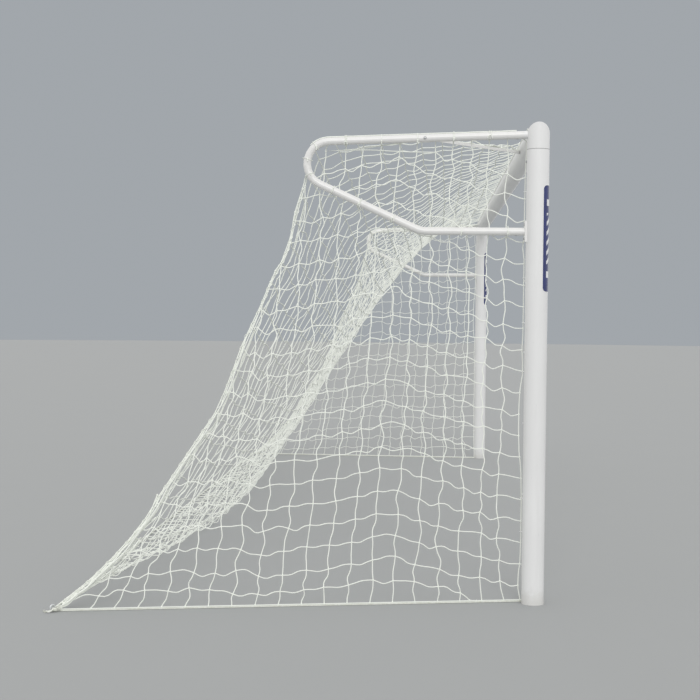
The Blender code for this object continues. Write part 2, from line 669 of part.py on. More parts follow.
def roof_point(column, row):
    """Row 0 lies on the crossbar, the last is the ridge."""
    v = row / ROOF_ROWS
    ridge = on_tip(RIDGE_ANGLE)
    back = NET_FRONT + (ridge[0] - NET_FRONT) * v
    height = upper_tube_z(back) + ROOF_RISE
    if row == 0:
        height = BAR_Z + NET_INSET
    elif row == ROOF_ROWS:
        height = ridge[1]
    ends = [at_side(side, -NET_INSET, back, height) for side in SIDES]
    return hung(*ends, mid_point(MID_RIDGE * v), column / ROOF_COLUMNS)


def back_point(column, row):
    """Row 0 is under the ridge, the last but one touches the ground, the last lies on the rope."""
    under_ridge = on_tip(RIDGE_ANGLE - SEAM_GAP / TIP_RADIUS)
    height = [under_ridge[1], *side_rows()][row]
    back = seam_y(height) if row else under_ridge[0]
    inset = NET_INSET + SEAM_GAP / 2
    outs = {side: side_out(side, inset, back, height) for side in SIDES}
    if row == BACK_ROWS:
        outs = {side: NET_OUTSET[side] - NET_CORNER for side in SIDES}
    ends = [at_side(side, out, back, height) for side, out in outs.items()]
    t = MID_RIDGE + (1 - MID_RIDGE) * row / (BACK_ROWS - 1)
    if row == 0:
        step = 0.01
        t += step * SEAM_GAP / math.dist(mid_point(t), mid_point(t + step))
    middle = (NET_REACH, NET_FLOOR) if row == BACK_ROWS else mid_point(t)
    return hung(*ends, middle, column / ROOF_COLUMNS)


def side_point(side, column, row):
    """Row 0 lies along the upper tube, the last on the ground rope."""
    a = column / SIDE_COLUMNS
    rows = side_rows()
    if row > 1:
        height = rows[row - 2]
        end = NET_REACH - NET_CORNER if row == BACK_ROWS + 1 else seam_y(height) - SEAM_GAP
        back = NET_FRONT + (end - NET_FRONT) * a
        return at_side(side, side_out(side, NET_INSET, back, height), back, height)
    back = NET_FRONT + (TIP_Y - NET_FRONT) * a
    top = (back, upper_tube_z(back) - SIDE_DROP)
    if column == 0:
        top = (NET_FRONT, BAR_Z - NET_INSET - TWINE)
    elif column == SIDE_COLUMNS:
        top = on_tip(RIDGE_ANGLE - SEAM_GAP / TIP_RADIUS, TIP_RADIUS - SEAM_GAP)
    free = (NET_FRONT + (seam_y(FREE_Z) - SEAM_GAP - NET_FRONT) * a, FREE_Z)
    middle = [(top[i] + free[i] * row) / (1 + row) for i in range(2)]
    return at_side(side, -NET_INSET, *middle)


def make_lattice(name, columns, rows, point, material):
    """A panel of square-meshed net: a grid of points, its edges turned into twine."""
    shape = bmesh.new()
    grid = [[shape.verts.new(point(i, j)) for i in range(columns + 1)] for j in range(rows + 1)]
    for upper, lower in zip(grid, grid[1:]):
        for i in range(columns):
            shape.faces.new((upper[i], upper[i + 1], lower[i + 1], lower[i]))
    panel = from_bmesh(name, shape, material)
    twine = panel.modifiers.new("Twine", "WIREFRAME")
    twine.thickness = TWINE
    twine.use_boundary = True
    twine.use_even_offset = True
    twine.use_replace = True


def make_net(materials):
    """Roof, back and two side panels of the box net."""
    make_lattice("net_roof", ROOF_COLUMNS, ROOF_ROWS, roof_point, materials["net"])
    make_lattice("net_back", ROOF_COLUMNS, BACK_ROWS, back_point, materials["net"])
    make_lattice("net_side_left", SIDE_COLUMNS, BACK_ROWS + 1,
                 lambda i, j: side_point("left", i, j), materials["net"])
    make_lattice("net_side_right", SIDE_COLUMNS, BACK_ROWS + 1,
                 lambda i, j: side_point("right", i, j), materials["net"])


def make_ground_line(materials):
    """Ground rope from post to post round the two pegs that hold the net's rear corners."""
    start_back = math.sqrt((POST_RADIUS + SEAT_GAP + ROPE_RADIUS) ** 2 - NET_INSET ** 2)
    start = Vector((-NET_INSET, start_back))
    bend = PEG_RADIUS + SEAT_GAP + ROPE_RADIUS
    route = []
    for side in SIDES:
        corner = Vector((NET_OUTSET[side], NET_REACH))
        along = (corner - start).normalized()
        inward = (Vector((-1, 0)) - along).normalized()
        centre = corner + inward * (bend / math.sin(inward.angle(Vector((-1, 0)))))
        tangent = math.atan2(-along.x, along.y)
        plan = [tuple(start), *arc(centre, bend, tangent, math.pi / 2, ROPE_BEND_STEPS)]
        points = [at_side(side, out, back, ROPE_RADIUS) for out, back in plan]
        route += points if side == "left" else points[::-1]

        profile = [(0, -PEG_DEPTH), (0, PEG_POINT - PEG_DEPTH)]
        profile += arc((PEG_HOOK, PEG_RISE), PEG_HOOK, math.pi, 0, PEG_HOOK_STEPS)
        profile.append((2 * PEG_HOOK, PEG_TIP))
        hook_way = Vector((-inward.x * SIDES[side], -inward.y))
        peg = swept("net_peg_" + side, [(hook_way.x * reach, hook_way.y * reach, z) for reach, z in profile],
                    PEG_RADIUS, 8, materials["steel"], tip_share=PEG_POINT_SHARE)
        peg.location = at_side(side, centre.x, centre.y, 0)
    swept("ground_rope", route, ROPE_RADIUS, 8, materials["net"])


def main():
    for item in list(bpy.data.objects):
        bpy.data.objects.remove(item)
    materials = {
        "white": paint("white_powder_coat", (0.80, 0.80, 0.79), 0.38),
        "alloy": paint("mill_aluminium", (0.55, 0.56, 0.57), 0.45, 1.0),
        "steel": paint("zinc_steel", (0.50, 0.51, 0.52), 0.35, 1.0),
        "plastic": paint("grey_plastic", (0.10, 0.10, 0.11), 0.55),
        "navy": paint("navy_film", (0.018, 0.028, 0.15), 0.30),
        "net": paint("white_twine", (0.86, 0.88, 0.82), 0.75),
    }
    make_sockets(materials)
    make_posts(materials)
    make_corners(materials)
    make_crossbar(materials)
    make_supports(materials)
    make_saddles(materials)
    make_stays(materials)
    make_labels(materials)
    make_net(materials)
    make_ground_line(materials)


main()
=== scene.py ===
"""Looks of a socketed soccer goal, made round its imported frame: the metal's finishes, a box net of
knotted twine with its lacing and ties, the ground rope, the post labels, and a plain studio.

Metres, +Z up, in the frame's own axes: +X runs along the goal line, +Y from the goal line back
to the net, and the ground is at zero. Much is laid out from one post's axis: "out" is the
distance outboard of it, "back" the distance behind it."""

import json
import math

import bpy
import numpy as np
from bpy.props import FloatProperty, FloatVectorProperty, IntProperty, PointerProperty
from mathutils import Matrix, Vector


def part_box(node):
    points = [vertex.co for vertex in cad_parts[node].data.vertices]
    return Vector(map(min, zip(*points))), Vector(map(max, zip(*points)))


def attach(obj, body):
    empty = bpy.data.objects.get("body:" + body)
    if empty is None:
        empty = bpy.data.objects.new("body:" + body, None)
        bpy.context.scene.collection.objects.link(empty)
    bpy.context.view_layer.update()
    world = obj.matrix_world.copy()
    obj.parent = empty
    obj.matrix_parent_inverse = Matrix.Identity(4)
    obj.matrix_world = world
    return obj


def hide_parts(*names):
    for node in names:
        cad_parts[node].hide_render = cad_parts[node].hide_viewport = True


bl_info = {
    "name": "Soccer goal dressing",
    "version": (1, 0, 0),
    "blender": (4, 5, 0),
    "location": "3D View > Sidebar > Goal",
    "description": "Net, rope, labels and finishes for a socketed soccer goal",
    "category": "Object",
}

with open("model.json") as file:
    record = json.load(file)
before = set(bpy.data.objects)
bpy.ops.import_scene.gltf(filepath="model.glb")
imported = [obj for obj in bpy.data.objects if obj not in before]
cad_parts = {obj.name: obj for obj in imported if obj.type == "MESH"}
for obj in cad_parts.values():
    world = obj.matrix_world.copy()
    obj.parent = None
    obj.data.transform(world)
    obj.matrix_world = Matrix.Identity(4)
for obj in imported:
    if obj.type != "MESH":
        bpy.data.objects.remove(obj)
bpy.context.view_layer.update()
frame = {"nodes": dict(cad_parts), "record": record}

# Places taken from the frame
POST_LOW, POST_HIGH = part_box("post_right")
BAR_LOW, BAR_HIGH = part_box("crossbar")
TUBE_LOW, TUBE_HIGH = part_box("net_support_right")
ROPE_LOW, ROPE_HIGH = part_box("ground_rope")
LABEL_LOW, LABEL_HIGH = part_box("label_right")
STAY_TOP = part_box("stay_bar_right")[1].z
POST_RADIUS = (POST_HIGH.x - POST_LOW.x) / 2
HALF_SPAN = (POST_HIGH.x + POST_LOW.x) / 2
BAR_Z = (BAR_LOW.z + BAR_HIGH.z) / 2
CORNER_SEAM = POST_HIGH.z
# Half width of the dark line painted at the corner's seam height as the shade in its joint
SEAM_SHADE_HALF_WIDTH = 0.0016
TUBE_RADIUS = (TUBE_HIGH.x - TUBE_LOW.x) / 2
LOWER_Z = TUBE_LOW.z + TUBE_RADIUS
SUPPORT_REACH = TUBE_HIGH.y - TUBE_RADIUS
ROPE_RADIUS = (ROPE_HIGH.z - ROPE_LOW.z) / 2
SIDES = {"left": -1, "right": 1}

# The support's shape, as in the frame
SUPPORT_DROOP = math.radians(2.0)
DIAGONAL_SLOPE = math.radians(24.5)
TIP_RADIUS = 0.12
TIP_Y = SUPPORT_REACH - TIP_RADIUS
TIP_Z = BAR_Z - TIP_Y * math.tan(SUPPORT_DROOP) - TIP_RADIUS / math.cos(SUPPORT_DROOP)

# The net's outline, as in the frame
SEAT_GAP = 0.0003
TWINE = 0.006
TWINE_RADIUS = TWINE / 2
NET_INSET = 0.034
NET_FRONT = math.sqrt((POST_RADIUS + SEAT_GAP + TWINE_RADIUS) ** 2 - NET_INSET ** 2)
NET_FLOOR = 2 * ROPE_RADIUS + SEAT_GAP + TWINE_RADIUS
NET_REACH = 2.48
NET_OUTSET = {"left": 0.45, "right": 0.05}
NET_CORNER = 0.035
FREE_Z = LOWER_Z - TUBE_RADIUS - 0.05
SEAM_GAP = 0.009
SEAM_UPPER_PULL = (1.32, 1.55)
SEAM_LOWER_PULL = (1.85, 0.50)
MID_TOUCH = 2.10
MID_FRONT_PULL = (0.81, 2.25)
MID_REAR_PULL = (1.44, 0.87)
MID_RIDGE = 0.414
RIDGE_ANGLE = math.radians(45)
ROOF_RISE = 0.019
SIDE_DROP = 0.0127
PEG_RADIUS = 0.005
SEAM_STEPS = 160
SEAM_TIES = 8
SEAM_SCALLOP = 0.005

# The roof's side edge leaves the crossbar over its first share and bends to the ridge over its last
HEAD_OVER = 0.04
BEND_FROM, BEND_OVER = 0.75, 0.25

# The foot of the back panel: the share of its height from which it is drawn in to its corners, and from
# which it falls off faster to the ground
DRAWN_FROM, DRAWN_OVER = 0.90, 0.10
FALL_FROM, FALL_OVER = 0.80, 0.10
FALL_FASTER = 0.38

# A stay's two ends, as distance outboard of the post's axis and behind it
STAY_AT_TUBE = (-TUBE_RADIUS, 0.60)
STAY_AT_BAR = (-0.62, POST_RADIUS)

# How the net lies on a stay: its room at the roof's edge and elsewhere, how wide it lies, and how fast it
# falls beside it
STAY_REST = 0.001
STAY_ROOM = 0.002
STAY_RIDGE = 0.02
STAY_FALL = 0.55

# How a string hangs. Where its knots lie closer than a share of a mesh it is gathered and has no slack. A
# flat arc sags by the root of 3/8 of its span times its spare length: a string by more or less of that,
# and an upright one stands off to a side by half as much.
GATHERED_SHARE = 0.55
ARC_SAG = 3 / 8
SAG_RANGE = (0.4, 1.4)
UPRIGHT_SAG = 0.5

# Below a height the knots lie less regularly; and their least height
LYING_BELOW = 0.08
LYING_WANDER = 1.6
KNOT_FLOOR = TWINE_RADIUS + 0.002

# A knot: how it is drawn out and slanted, how deep and how wide it is pinched, and how sizes differ
KNOT_SHARES = (1.0, 0.78, 0.72)
KNOT_SLANT = math.radians(40)
PINCH = 0.22
PINCH_WIDTH = 0.16
KNOT_SIZES = (0.88, 1.15)

# How much of the net's irregularity the roof has
ROOF_CALM = 0.45

# Points from knot to knot in the large panels and the strings drawn in to the corners, and round each turn
# of a tie
STRING_STEPS = 5
WINDING_STEPS = 14

# The finish of each slot's new pieces
FINISHES = {"net_twine": "net_twine", "rope": "rope_braid", "support_white": "clip_plastic"}

BACKWARD = np.array((0.0, 1.0, 0.0))
UPWARD = np.array((0.0, 0.0, 1.0))

# The label's pattern: the round of its corners, its white edge, the chevrons' pitch, slope, stroke and
# reach, the bars' place and half height, and the half width of all marks
LABEL_CORNER = 0.026
LABEL_EDGE = 0.0045
CHEVRON_PITCH = 0.052
CHEVRON_SLOPE = 0.9
CHEVRON_STROKE = 0.42
CHEVRON_REACH = 0.135
BAR_PLACE = 0.19
BAR_HALF_HEIGHT = 0.017
MARK_HALF_WIDTH = 0.042

# The photograph's camera: its place, how it is turned from looking along the goal line, how far it sees
CAMERA_PLACE = (-10.9018, 0.57533, 1.52447)
CAMERA_YAW = 0.05772
CAMERA_PITCH = -0.02487
CAMERA_ROLL = 0.0095
SIGHT = 400.0

# The studio's floor and its soft key light
FLOOR_RADIUS = 70.0
SUN_WAY = (0.86, 0.10, -0.52)
SUN_SPREAD = math.radians(35)


def length_field(name, description, default):
    """A length that a user can change."""
    return FloatProperty(name=name, description=description, default=default, unit="LENGTH")


def number_field(name, description, default, subtype="NONE"):
    """A strength, a share or an angle that a user can change."""
    return FloatProperty(name=name, description=description, default=default, subtype=subtype)


def count_field(name, description, default):
    """A whole number that a user can change."""
    return IntProperty(name=name, description=description, default=default)


def colour_field(name, description, *default):
    """A colour that a user can change."""
    return FloatVectorProperty(name=name, description=description, default=default, subtype="COLOR")


class GoalNetSettings(bpy.types.PropertyGroup):
    """Sizes of the net and of what holds it."""
    mesh: length_field("Mesh", "Twine from knot to knot", 0.12)
    columns: count_field("Columns", "Meshes along the crossbar", 62)
    roof_rows: count_field("Roof rows", "Meshes from the crossbar to the ridge", 10)
    back_rows: count_field("Back rows", "Meshes from the ridge to the ground", 22)
    side_columns: count_field("Side columns", "Meshes along the ground from post to rear corner", 20)
    side_rows: count_field("Side rows", "Meshes from the ground to the support", 21)
    top_pitch: length_field("Gathered pitch", "Spacing of the uprights gathered on the tube", 0.092)
    knot: length_field("Knot", "Width of a knot", 0.0125)
    wander: length_field("Wander", "How far knots lie off a regular net", 0.006)
    slack: number_field("Slack", "Share of a string's spare length that hangs", 0.6, "FACTOR")
    squareness: number_field("Squareness", "How far a knot squares its strings", 0.95, "FACTOR")
    stiffness: number_field("Stiffness", "How long a string keeps the way its knot gives it", 1.8)
    twist: number_field("Twist", "How much single knots are turned", math.radians(9), "ANGLE")
    seed: count_field("Seed", "Start of the net's chance", 11)


class GoalFinishSettings(bpy.types.PropertyGroup):
    """Colours of the goal."""
    frame_white: colour_field("Frame", "Powder coat of posts and crossbar", 0.80, 0.80, 0.795)
    support_white: colour_field("Supports", "Powder coat of the net supports", 0.80, 0.795, 0.78)
    twine: colour_field("Twine", "Braided twine of the net", 0.90, 0.91, 0.88)
    navy: colour_field("Label", "Film of the post labels", 0.014, 0.024, 0.13)
    steel: colour_field("Fasteners", "Zinc plate on bolts and pegs", 0.50, 0.51, 0.52)
    alloy: colour_field("Sleeves", "Mill aluminium of the ground sleeves", 0.58, 0.59, 0.60)
    plastic: colour_field("Plastic", "Moulded feet and bases", 0.045, 0.045, 0.05)
    clips: colour_field("Clips", "Moulded net clips", 0.76, 0.76, 0.75)


class GoalStageSettings(bpy.types.PropertyGroup):
    """Floor, light and camera."""
    floor: colour_field("Floor", "Colour of the studio floor", 0.37, 0.38, 0.38)
    backdrop: colour_field("Backdrop", "Colour behind the floor", 0.36, 0.385, 0.41)
    fill: number_field("Fill", "Strength of the even light", 0.84)
    key: number_field("Key", "Strength of the soft key light", 1.1)
    lens: number_field("Lens", "Focal length on a 36 mm sensor, in millimetres", 68.93)


class Value:
    """A number or colour in a material's nodes. Operators on numbers add Math nodes."""

    def __init__(self, finish, socket):
        self.finish = finish
        self.socket = socket

    def __add__(self, other):
        return self.finish.maths("ADD", self, other)

    def __sub__(self, other):
        return self.finish.maths("SUBTRACT", self, other)

    def __rsub__(self, other):
        return self.finish.maths("SUBTRACT", other, self)

    def __mul__(self, other):
        return self.finish.maths("MULTIPLY", self, other)

    def __truediv__(self, other):
        return self.finish.maths("DIVIDE", self, other)

    def __rtruediv__(self, other):
        return self.finish.maths("DIVIDE", other, self)

    def __lt__(self, other):
        return self.finish.maths("LESS_THAN", self, other)

    def __gt__(self, other):
        return self.finish.maths("GREATER_THAN", self, other)

    def __abs__(self):
        return self.finish.maths("ABSOLUTE", self)

    __radd__ = __add__
    __rmul__ = __mul__


class Finish:
    """A Principled material whose nodes are added one by one."""

    def __init__(self, name, colour, roughness, metallic=0.0):
        self.material = bpy.data.materials.new(name)
        self.material.use_nodes = True
        self.tree = self.material.node_tree
        self.shader = self.tree.nodes["Principled BSDF"]
        self.fix(base_color=(*colour, 1.0), roughness=roughness, metallic=metallic)
        self.place = self.add("ShaderNodeTexCoord", output="Object")

    def add(self, kind, settings=None, inputs=None, output=0):
        """Adds a node: its settings first, then the values or links of its sockets."""
        node = self.tree.nodes.new(kind)
        for key, value in (settings or {}).items():
            setattr(node, key, value)
        for key, value in (inputs or {}).items():
            if isinstance(value, Value):
                self.tree.links.new(value.socket, node.inputs[key])
            else:
                node.inputs[key].default_value = value
        return Value(self, node.outputs[output])

    def maths(self, operation, first, second=0.0):
        """Adds a Math node."""
        return self.add("ShaderNodeMath", {"operation": operation}, {0: first, 1: second})

    def socket(self, key):
        """A socket of the shader, by its name in small letters."""
        return self.shader.inputs[key.replace("_", " ").title()]

    def fix(self, **inputs):
        """Sets what is the same all over the surface on the shader's own sockets."""
        for key, value in inputs.items():
            self.socket(key).default_value = value

    def feed(self, **inputs):
        """Links what varies over the surface to the shader's own sockets."""
        for key, value in inputs.items():
            self.tree.links.new(value.socket, self.socket(key))

    def noise(self, scale, detail, stretch=(1, 1, 1)):
        """Noise from 0 to 1, so many patches to the metre, stretched where a scale is small."""
        spot = self.add("ShaderNodeMapping", None, {"Vector": self.place, "Scale": stretch})
        return self.add("ShaderNodeTexNoise", None, {"Vector": spot, "Scale": scale, "Detail": detail})

    def ramp(self, value, low, high):
        """0 below the low value, 1 above the high one, smooth between."""
        return self.add("ShaderNodeMapRange", {"interpolation_type": "SMOOTHSTEP"},
                        {"Value": value, "From Min": low, "From Max": high})

    def patches(self, scale, detail, low, high, stretch=(1, 1, 1)):
        """Noise as patches with soft edges."""
        return self.ramp(self.noise(scale, detail, stretch), low, high)

    def axes(self):
        """The three object coordinates as numbers."""
        node = self.add("ShaderNodeSeparateXYZ", None, {0: self.place}).socket.node
        return [Value(self, output) for output in node.outputs]

    def blend(self, body, *coats):
        """A colour with others laid over it, each by its own mask."""
        for mask, coat in coats:
            first, second = (c if isinstance(c, Value) else (*c, 1.0) for c in (body, coat))
            body = self.add("ShaderNodeMix", {"data_type": "RGBA"}, {0: mask, 6: first, 7: second}, 2)
        return body

    def bump(self, height, distance, strength):
        """Relief of so many metres from a value of 0 to 1."""
        relief = {"Height": height, "Distance": distance, "Strength": strength}
        self.feed(normal=self.add("ShaderNodeBump", None, relief))


def shade(colour, factor):
    """A colour made darker or lighter."""
    return tuple(channel * factor for channel in colour)


def powder_coat(name, colour, roughness, seam_shaded=False):
    """Powder coat: orange peel, faint cloudiness, scuffs, soil at the foot, and a dark line of painted shade
    at the corner's seam.
    """
    finish = Finish(name, colour, roughness)
    finish.fix(coat_weight=0.12, coat_roughness=0.2)
    height = finish.axes()[2]
    cloud = finish.patches(2.3, 3.0, 0.35, 0.7)
    streak = finish.patches(26.0, 4.0, 0.52, 0.75, (1, 1, 0.08))
    scuff = finish.patches(95.0, 5.0, 0.66, 0.74, (1, 1, 0.35))
    soil_edge = finish.noise(38.0, 4.0) * 0.16 + 0.02
    soil = 1 - finish.ramp(height / soil_edge, 0.0, 1.0)
    body = finish.blend(colour, (cloud, shade(colour, 0.965)), (streak * 0.30, shade(colour, 0.86)),
                        (scuff * 0.22, (0.52, 0.53, 0.54)), (soil * 0.24, (0.30, 0.28, 0.20)))
    if seam_shaded:
        # Painted shade: a dark band at the seam's height stands in for the shadow in the joint between post
        # and corner
        body = finish.blend(body, ((abs(height - CORNER_SEAM) < SEAM_SHADE_HALF_WIDTH) * 0.75, (0.20, 0.20, 0.20)))
    peel = finish.noise(420.0, 1.0)
    finish.feed(base_color=body, roughness=peel * 0.08 + scuff * 0.14 + soil * 0.2 + (roughness - 0.04))
    finish.bump(peel * 0.8 + finish.noise(60.0, 2.0) * 0.2, 0.0005, 0.35)
    return finish.material


def braided(name, colour, pitch):
    """Braided polyethylene: slanting strands with painted shade in the grooves between them, loose fibres and
    a little soil near the turf.
    """
    finish = Finish(name, colour, 0.62)
    finish.fix(sheen_weight=0.25, sheen_roughness=0.5)
    height = finish.axes()[2]
    strands = finish.add("ShaderNodeTexWave", {"wave_type": "BANDS", "bands_direction": "DIAGONAL"},
                         {"Vector": finish.place, "Scale": 1.0 / pitch, "Distortion": 1.5, "Detail": 1.0})
    fibre = finish.noise(1400.0, 2.0)
    patch = finish.patches(9.0, 3.0, 0.35, 0.7)
    soil = 1 - finish.ramp(height, 0.0, 0.30)
    # The darker colour between the strands is painted shade in the braid's grooves; the patches and the soil
    # are the twine's own tone
    body = finish.blend(
        colour, (patch * 0.35, shade(colour, 0.88)), ((1 - strands) * 0.22, shade(colour, 0.70)),
        (soil * finish.noise(55.0, 3.0) * 0.55, (0.36, 0.38, 0.22)))
    finish.feed(base_color=body, roughness=fibre * 0.2 + 0.55)
    finish.bump(strands * 0.7 + fibre * 0.3, 0.0002, 0.5)
    return finish.material


def plated(name, colour, roughness, grain=(1, 1, 1)):
    """Bare or plated metal: fine grain, dull patches and a spangle."""
    finish = Finish(name, colour, roughness, 1.0)
    dull = finish.patches(85.0, 3.0, 0.45, 0.68)
    fine = finish.noise(900.0, 2.0, grain)
    body = finish.blend(colour, (dull * 0.6, shade(colour, 0.72)), (fine * 0.25, shade(colour, 1.18)))
    finish.feed(base_color=body, roughness=dull * 0.18 + fine * 0.12 + (roughness - 0.08))
    finish.bump(fine, 0.0002, 0.4)
    return finish.material


def moulded(name, colour):
    """Moulded plastic with a spark-eroded grain."""
    finish = Finish(name, colour, 0.5)
    grain = finish.noise(700.0, 3.0)
    body = finish.blend(colour, (finish.patches(14.0, 3.0, 0.4, 0.7) * 0.4, shade(colour, 1.6)))
    finish.feed(base_color=body, roughness=grain * 0.2 + 0.42)
    finish.bump(grain, 0.0002, 0.5)
    return finish.material


def label_film(name, navy):
    """Navy film with a white edge, five plain chevrons and two bars. The pattern is worked out
    from the height and from the distance round the post, so it serves both posts."""
    finish = Finish(name, navy, 0.3)
    finish.fix(coat_weight=0.35, coat_roughness=0.12)
    x, y, z = finish.axes()
    across = abs(finish.maths("ARCTAN2", abs(x) - HALF_SPAN, 0 - y) * POST_RADIUS)
    middle = (LABEL_LOW.z + LABEL_HIGH.z) / 2
    half_height = (LABEL_HIGH.z - LABEL_LOW.z) / 2
    half_width = math.asin(min(1.0, (LABEL_HIGH.x - HALF_SPAN) / POST_RADIUS)) * POST_RADIUS
    up = abs(z - middle)
    side = finish.maths("MAXIMUM", across - (half_width - LABEL_CORNER), 0.0)
    end = finish.maths("MAXIMUM", up - (half_height - LABEL_CORNER), 0.0)
    edge = finish.maths("SQRT", side * side + end * end) > LABEL_CORNER - LABEL_EDGE
    rise = (z - middle) / CHEVRON_PITCH + across / CHEVRON_PITCH * CHEVRON_SLOPE
    marked = across < MARK_HALF_WIDTH
    chevrons = (finish.maths("FRACT", rise) < CHEVRON_STROKE) * marked * (up < CHEVRON_REACH)
    bars = (abs(up - BAR_PLACE) < BAR_HALF_HEIGHT) * marked
    white = finish.maths("MAXIMUM", edge, finish.maths("MAXIMUM", chevrons, bars))
    scratch = finish.patches(160.0, 4.0, 0.62, 0.72, (1, 1, 0.2))
    fade = finish.patches(12.0, 3.0, 0.4, 0.7)
    body = finish.blend(navy, (fade * 0.5, shade(navy, 1.35)), (scratch * 0.12, (0.30, 0.32, 0.40)),
                        (white, (0.80, 0.80, 0.80)))
    finish.feed(base_color=body, roughness=scratch * 0.2 + fade * 0.06 + 0.26)
    finish.bump(finish.noise(300.0, 1.0), 0.0001, 0.4)
    return finish.material


def floor_finish(colour):
    """Plain pale studio floor, very slightly mottled."""
    finish = Finish("studio_floor", colour, 0.85)
    finish.feed(base_color=finish.blend(colour, (finish.noise(1.3, 3.0) * 0.25, shade(colour, 0.93))))
    return finish.material


def at_side(side, out, back, height):
    """World place of a point laid out from one post's axis."""
    return np.array((SIDES[side] * (HALF_SPAN + out), back, height))


def cubic(start, start_pull, end_pull, end, t):
    """A point on a cubic curve, as distance back and height."""
    shares = ((1 - t) ** 3, 3 * t * (1 - t) ** 2, 3 * t ** 2 * (1 - t), t ** 3)
    corners = (start, start_pull, end_pull, end)
    return tuple(sum(share * corner[i] for share, corner in zip(shares, corners)) for i in range(2))


def tube_z(back):
    """Height of the upper tube's axis at a distance behind the post's axis."""
    return BAR_Z - back * math.tan(SUPPORT_DROOP)


def on_tip(angle, radius=TIP_RADIUS):
    """A point round the support's tip, as distance back and height."""
    return (TIP_Y + radius * math.cos(angle), TIP_Z + radius * math.sin(angle))


def share_past(value, start, over):
    """0 up to a start, then rising steadily to 1."""
    return min(1.0, max(0.0, (value - start) / over))


class Track:
    """A line of flat points that is read by its share of the whole length, or by height."""

    def __init__(self, points):
        self.points = np.array(points)
        steps = np.linalg.norm(np.diff(self.points, axis=0), axis=1)
        self.length = steps.sum()
        self.share = np.concatenate(([0.0], np.cumsum(steps))) / self.length

    def at(self, share):
        return tuple(np.interp(share, self.share, self.points[:, i]) for i in range(2))

    def back_at(self, height):
        return float(np.interp(-height, -self.points[:, 1], self.points[:, 0]))


# How far the hung rear seam lies behind its curve, by height
SEAM_BULGES = ((0.0, 0.0), (0.22, -0.012), (0.49, 0.0), (0.59, 0.030), (0.93, 0.030), (1.03, 0.014),
               (1.19, 0.045), (1.40, 0.066), (1.70, 0.050), (1.86, 0.022), (2.15, 0.020), (2.32, 0.0))


def between(value, stations):
    """Reads a value off a list of stations."""
    places, values = zip(*stations)
    return float(np.interp(value, places, values))


def seam_points():
    """The rear seam from the ridge, round the tip and down to the ground, drawn in between its ties."""
    arc = [on_tip(RIDGE_ANGLE * (1 - i / 6)) for i in range(6)]
    start = on_tip(0)
    end = (NET_REACH, NET_FLOOR)
    points = []
    for i in range(SEAM_STEPS + 1):
        share = i / SEAM_STEPS
        back, height = cubic(start, SEAM_UPPER_PULL, SEAM_LOWER_PULL, end, share)
        scallop = SEAM_SCALLOP * abs(math.sin(math.pi * SEAM_TIES * share))
        points.append((back + between(height, SEAM_BULGES) - scallop, height))
    return arc + points


def mid_points(first, last):
    """Profile of the slack net at mid-span, between two shares of its hanging curve."""
    front = (NET_FRONT, BAR_Z + NET_INSET)
    touch = (MID_TOUCH, TWINE)
    return [cubic(front, MID_FRONT_PULL, MID_REAR_PULL, touch, first + (last - first) * i / 40)
            for i in range(41)]


SEAM = Track(seam_points())
MID_ROOF = Track(mid_points(0.0, MID_RIDGE))
MID_BACK = Track(mid_points(MID_RIDGE, 1.0) + [(NET_REACH, NET_FLOOR)])


def side_out(side, inset, back, height):
    """How far outboard a side panel lies: it spreads from the support to the rear peg."""
    along = (back - NET_FRONT) / (NET_REACH - NET_FRONT)
    down = max(0.0, (FREE_Z - height) / (FREE_Z - NET_FLOOR))
    return (NET_OUTSET[side] + inset) * along * down - inset


def hung(left, right, middle, u, looseness=1.0):
    """A point of a slack string between its two ends, sagging towards a mid-span point."""
    slack = (4 * u * (1 - u)) ** looseness
    taut = left + (right - left) * u
    mean = (left + right) / 2
    return taut + np.array((0.0, middle[0] - mean[1], middle[1] - mean[2])) * slack


def roof_edge(v):
    """The roof's side edge as distance back and height: it lies over the tube, then bends to the ridge."""
    ridge = on_tip(RIDGE_ANGLE)
    back = NET_FRONT + (ridge[0] - NET_FRONT) * v
    over = tube_z(back) + ROOF_RISE
    front_rise = (BAR_Z + NET_INSET - tube_z(NET_FRONT) - ROOF_RISE) * max(0.0, 1 - v / HEAD_OVER)
    bend = (tube_z(ridge[0]) + ROOF_RISE - ridge[1]) * share_past(v, BEND_FROM, BEND_OVER) ** 2
    return back, over + front_rise - bend


def roof_inset(back):
    """How far inboard the roof is drawn in: its edge runs along the tube, then along the stay."""
    share = max(0.0, (STAY_AT_TUBE[1] - back) / (STAY_AT_TUBE[1] - STAY_AT_BAR[1]))
    return NET_INSET + (-STAY_AT_BAR[0] - NET_INSET) * share


def stay_lift(point):
    """The least height of the net over a stay, falling away on both sides of it."""
    spot = np.array((abs(point[0]) - HALF_SPAN, point[1]))
    start = np.array(STAY_AT_TUBE)
    along = np.array(STAY_AT_BAR) - start
    share = np.clip(np.dot(spot - start, along) / np.dot(along, along), 0, 1)
    away = np.linalg.norm(start + along * share - spot)
    return STAY_TOP + TWINE_RADIUS + STAY_ROOM - max(0.0, away - STAY_RIDGE) * STAY_FALL


def roof_point(u, v):
    """A point of the roof: v runs from the crossbar to the ridge. Its outer columns bunch on the stay."""
    back, height = roof_edge(v)
    ends = [at_side(side, -NET_INSET, back, height) for side in SIDES]
    point = hung(*ends, MID_ROOF.at(v), u)
    limit = HALF_SPAN - roof_inset(back)
    if back < STAY_AT_TUBE[1] and abs(point[0]) > limit:
        return np.array((math.copysign(limit, point[0]), max(back, POST_RADIUS + TWINE),
                         STAY_TOP + TWINE_RADIUS + STAY_REST))
    if 0 < v:
        point[2] = max(point[2], stay_lift(point))
    return point


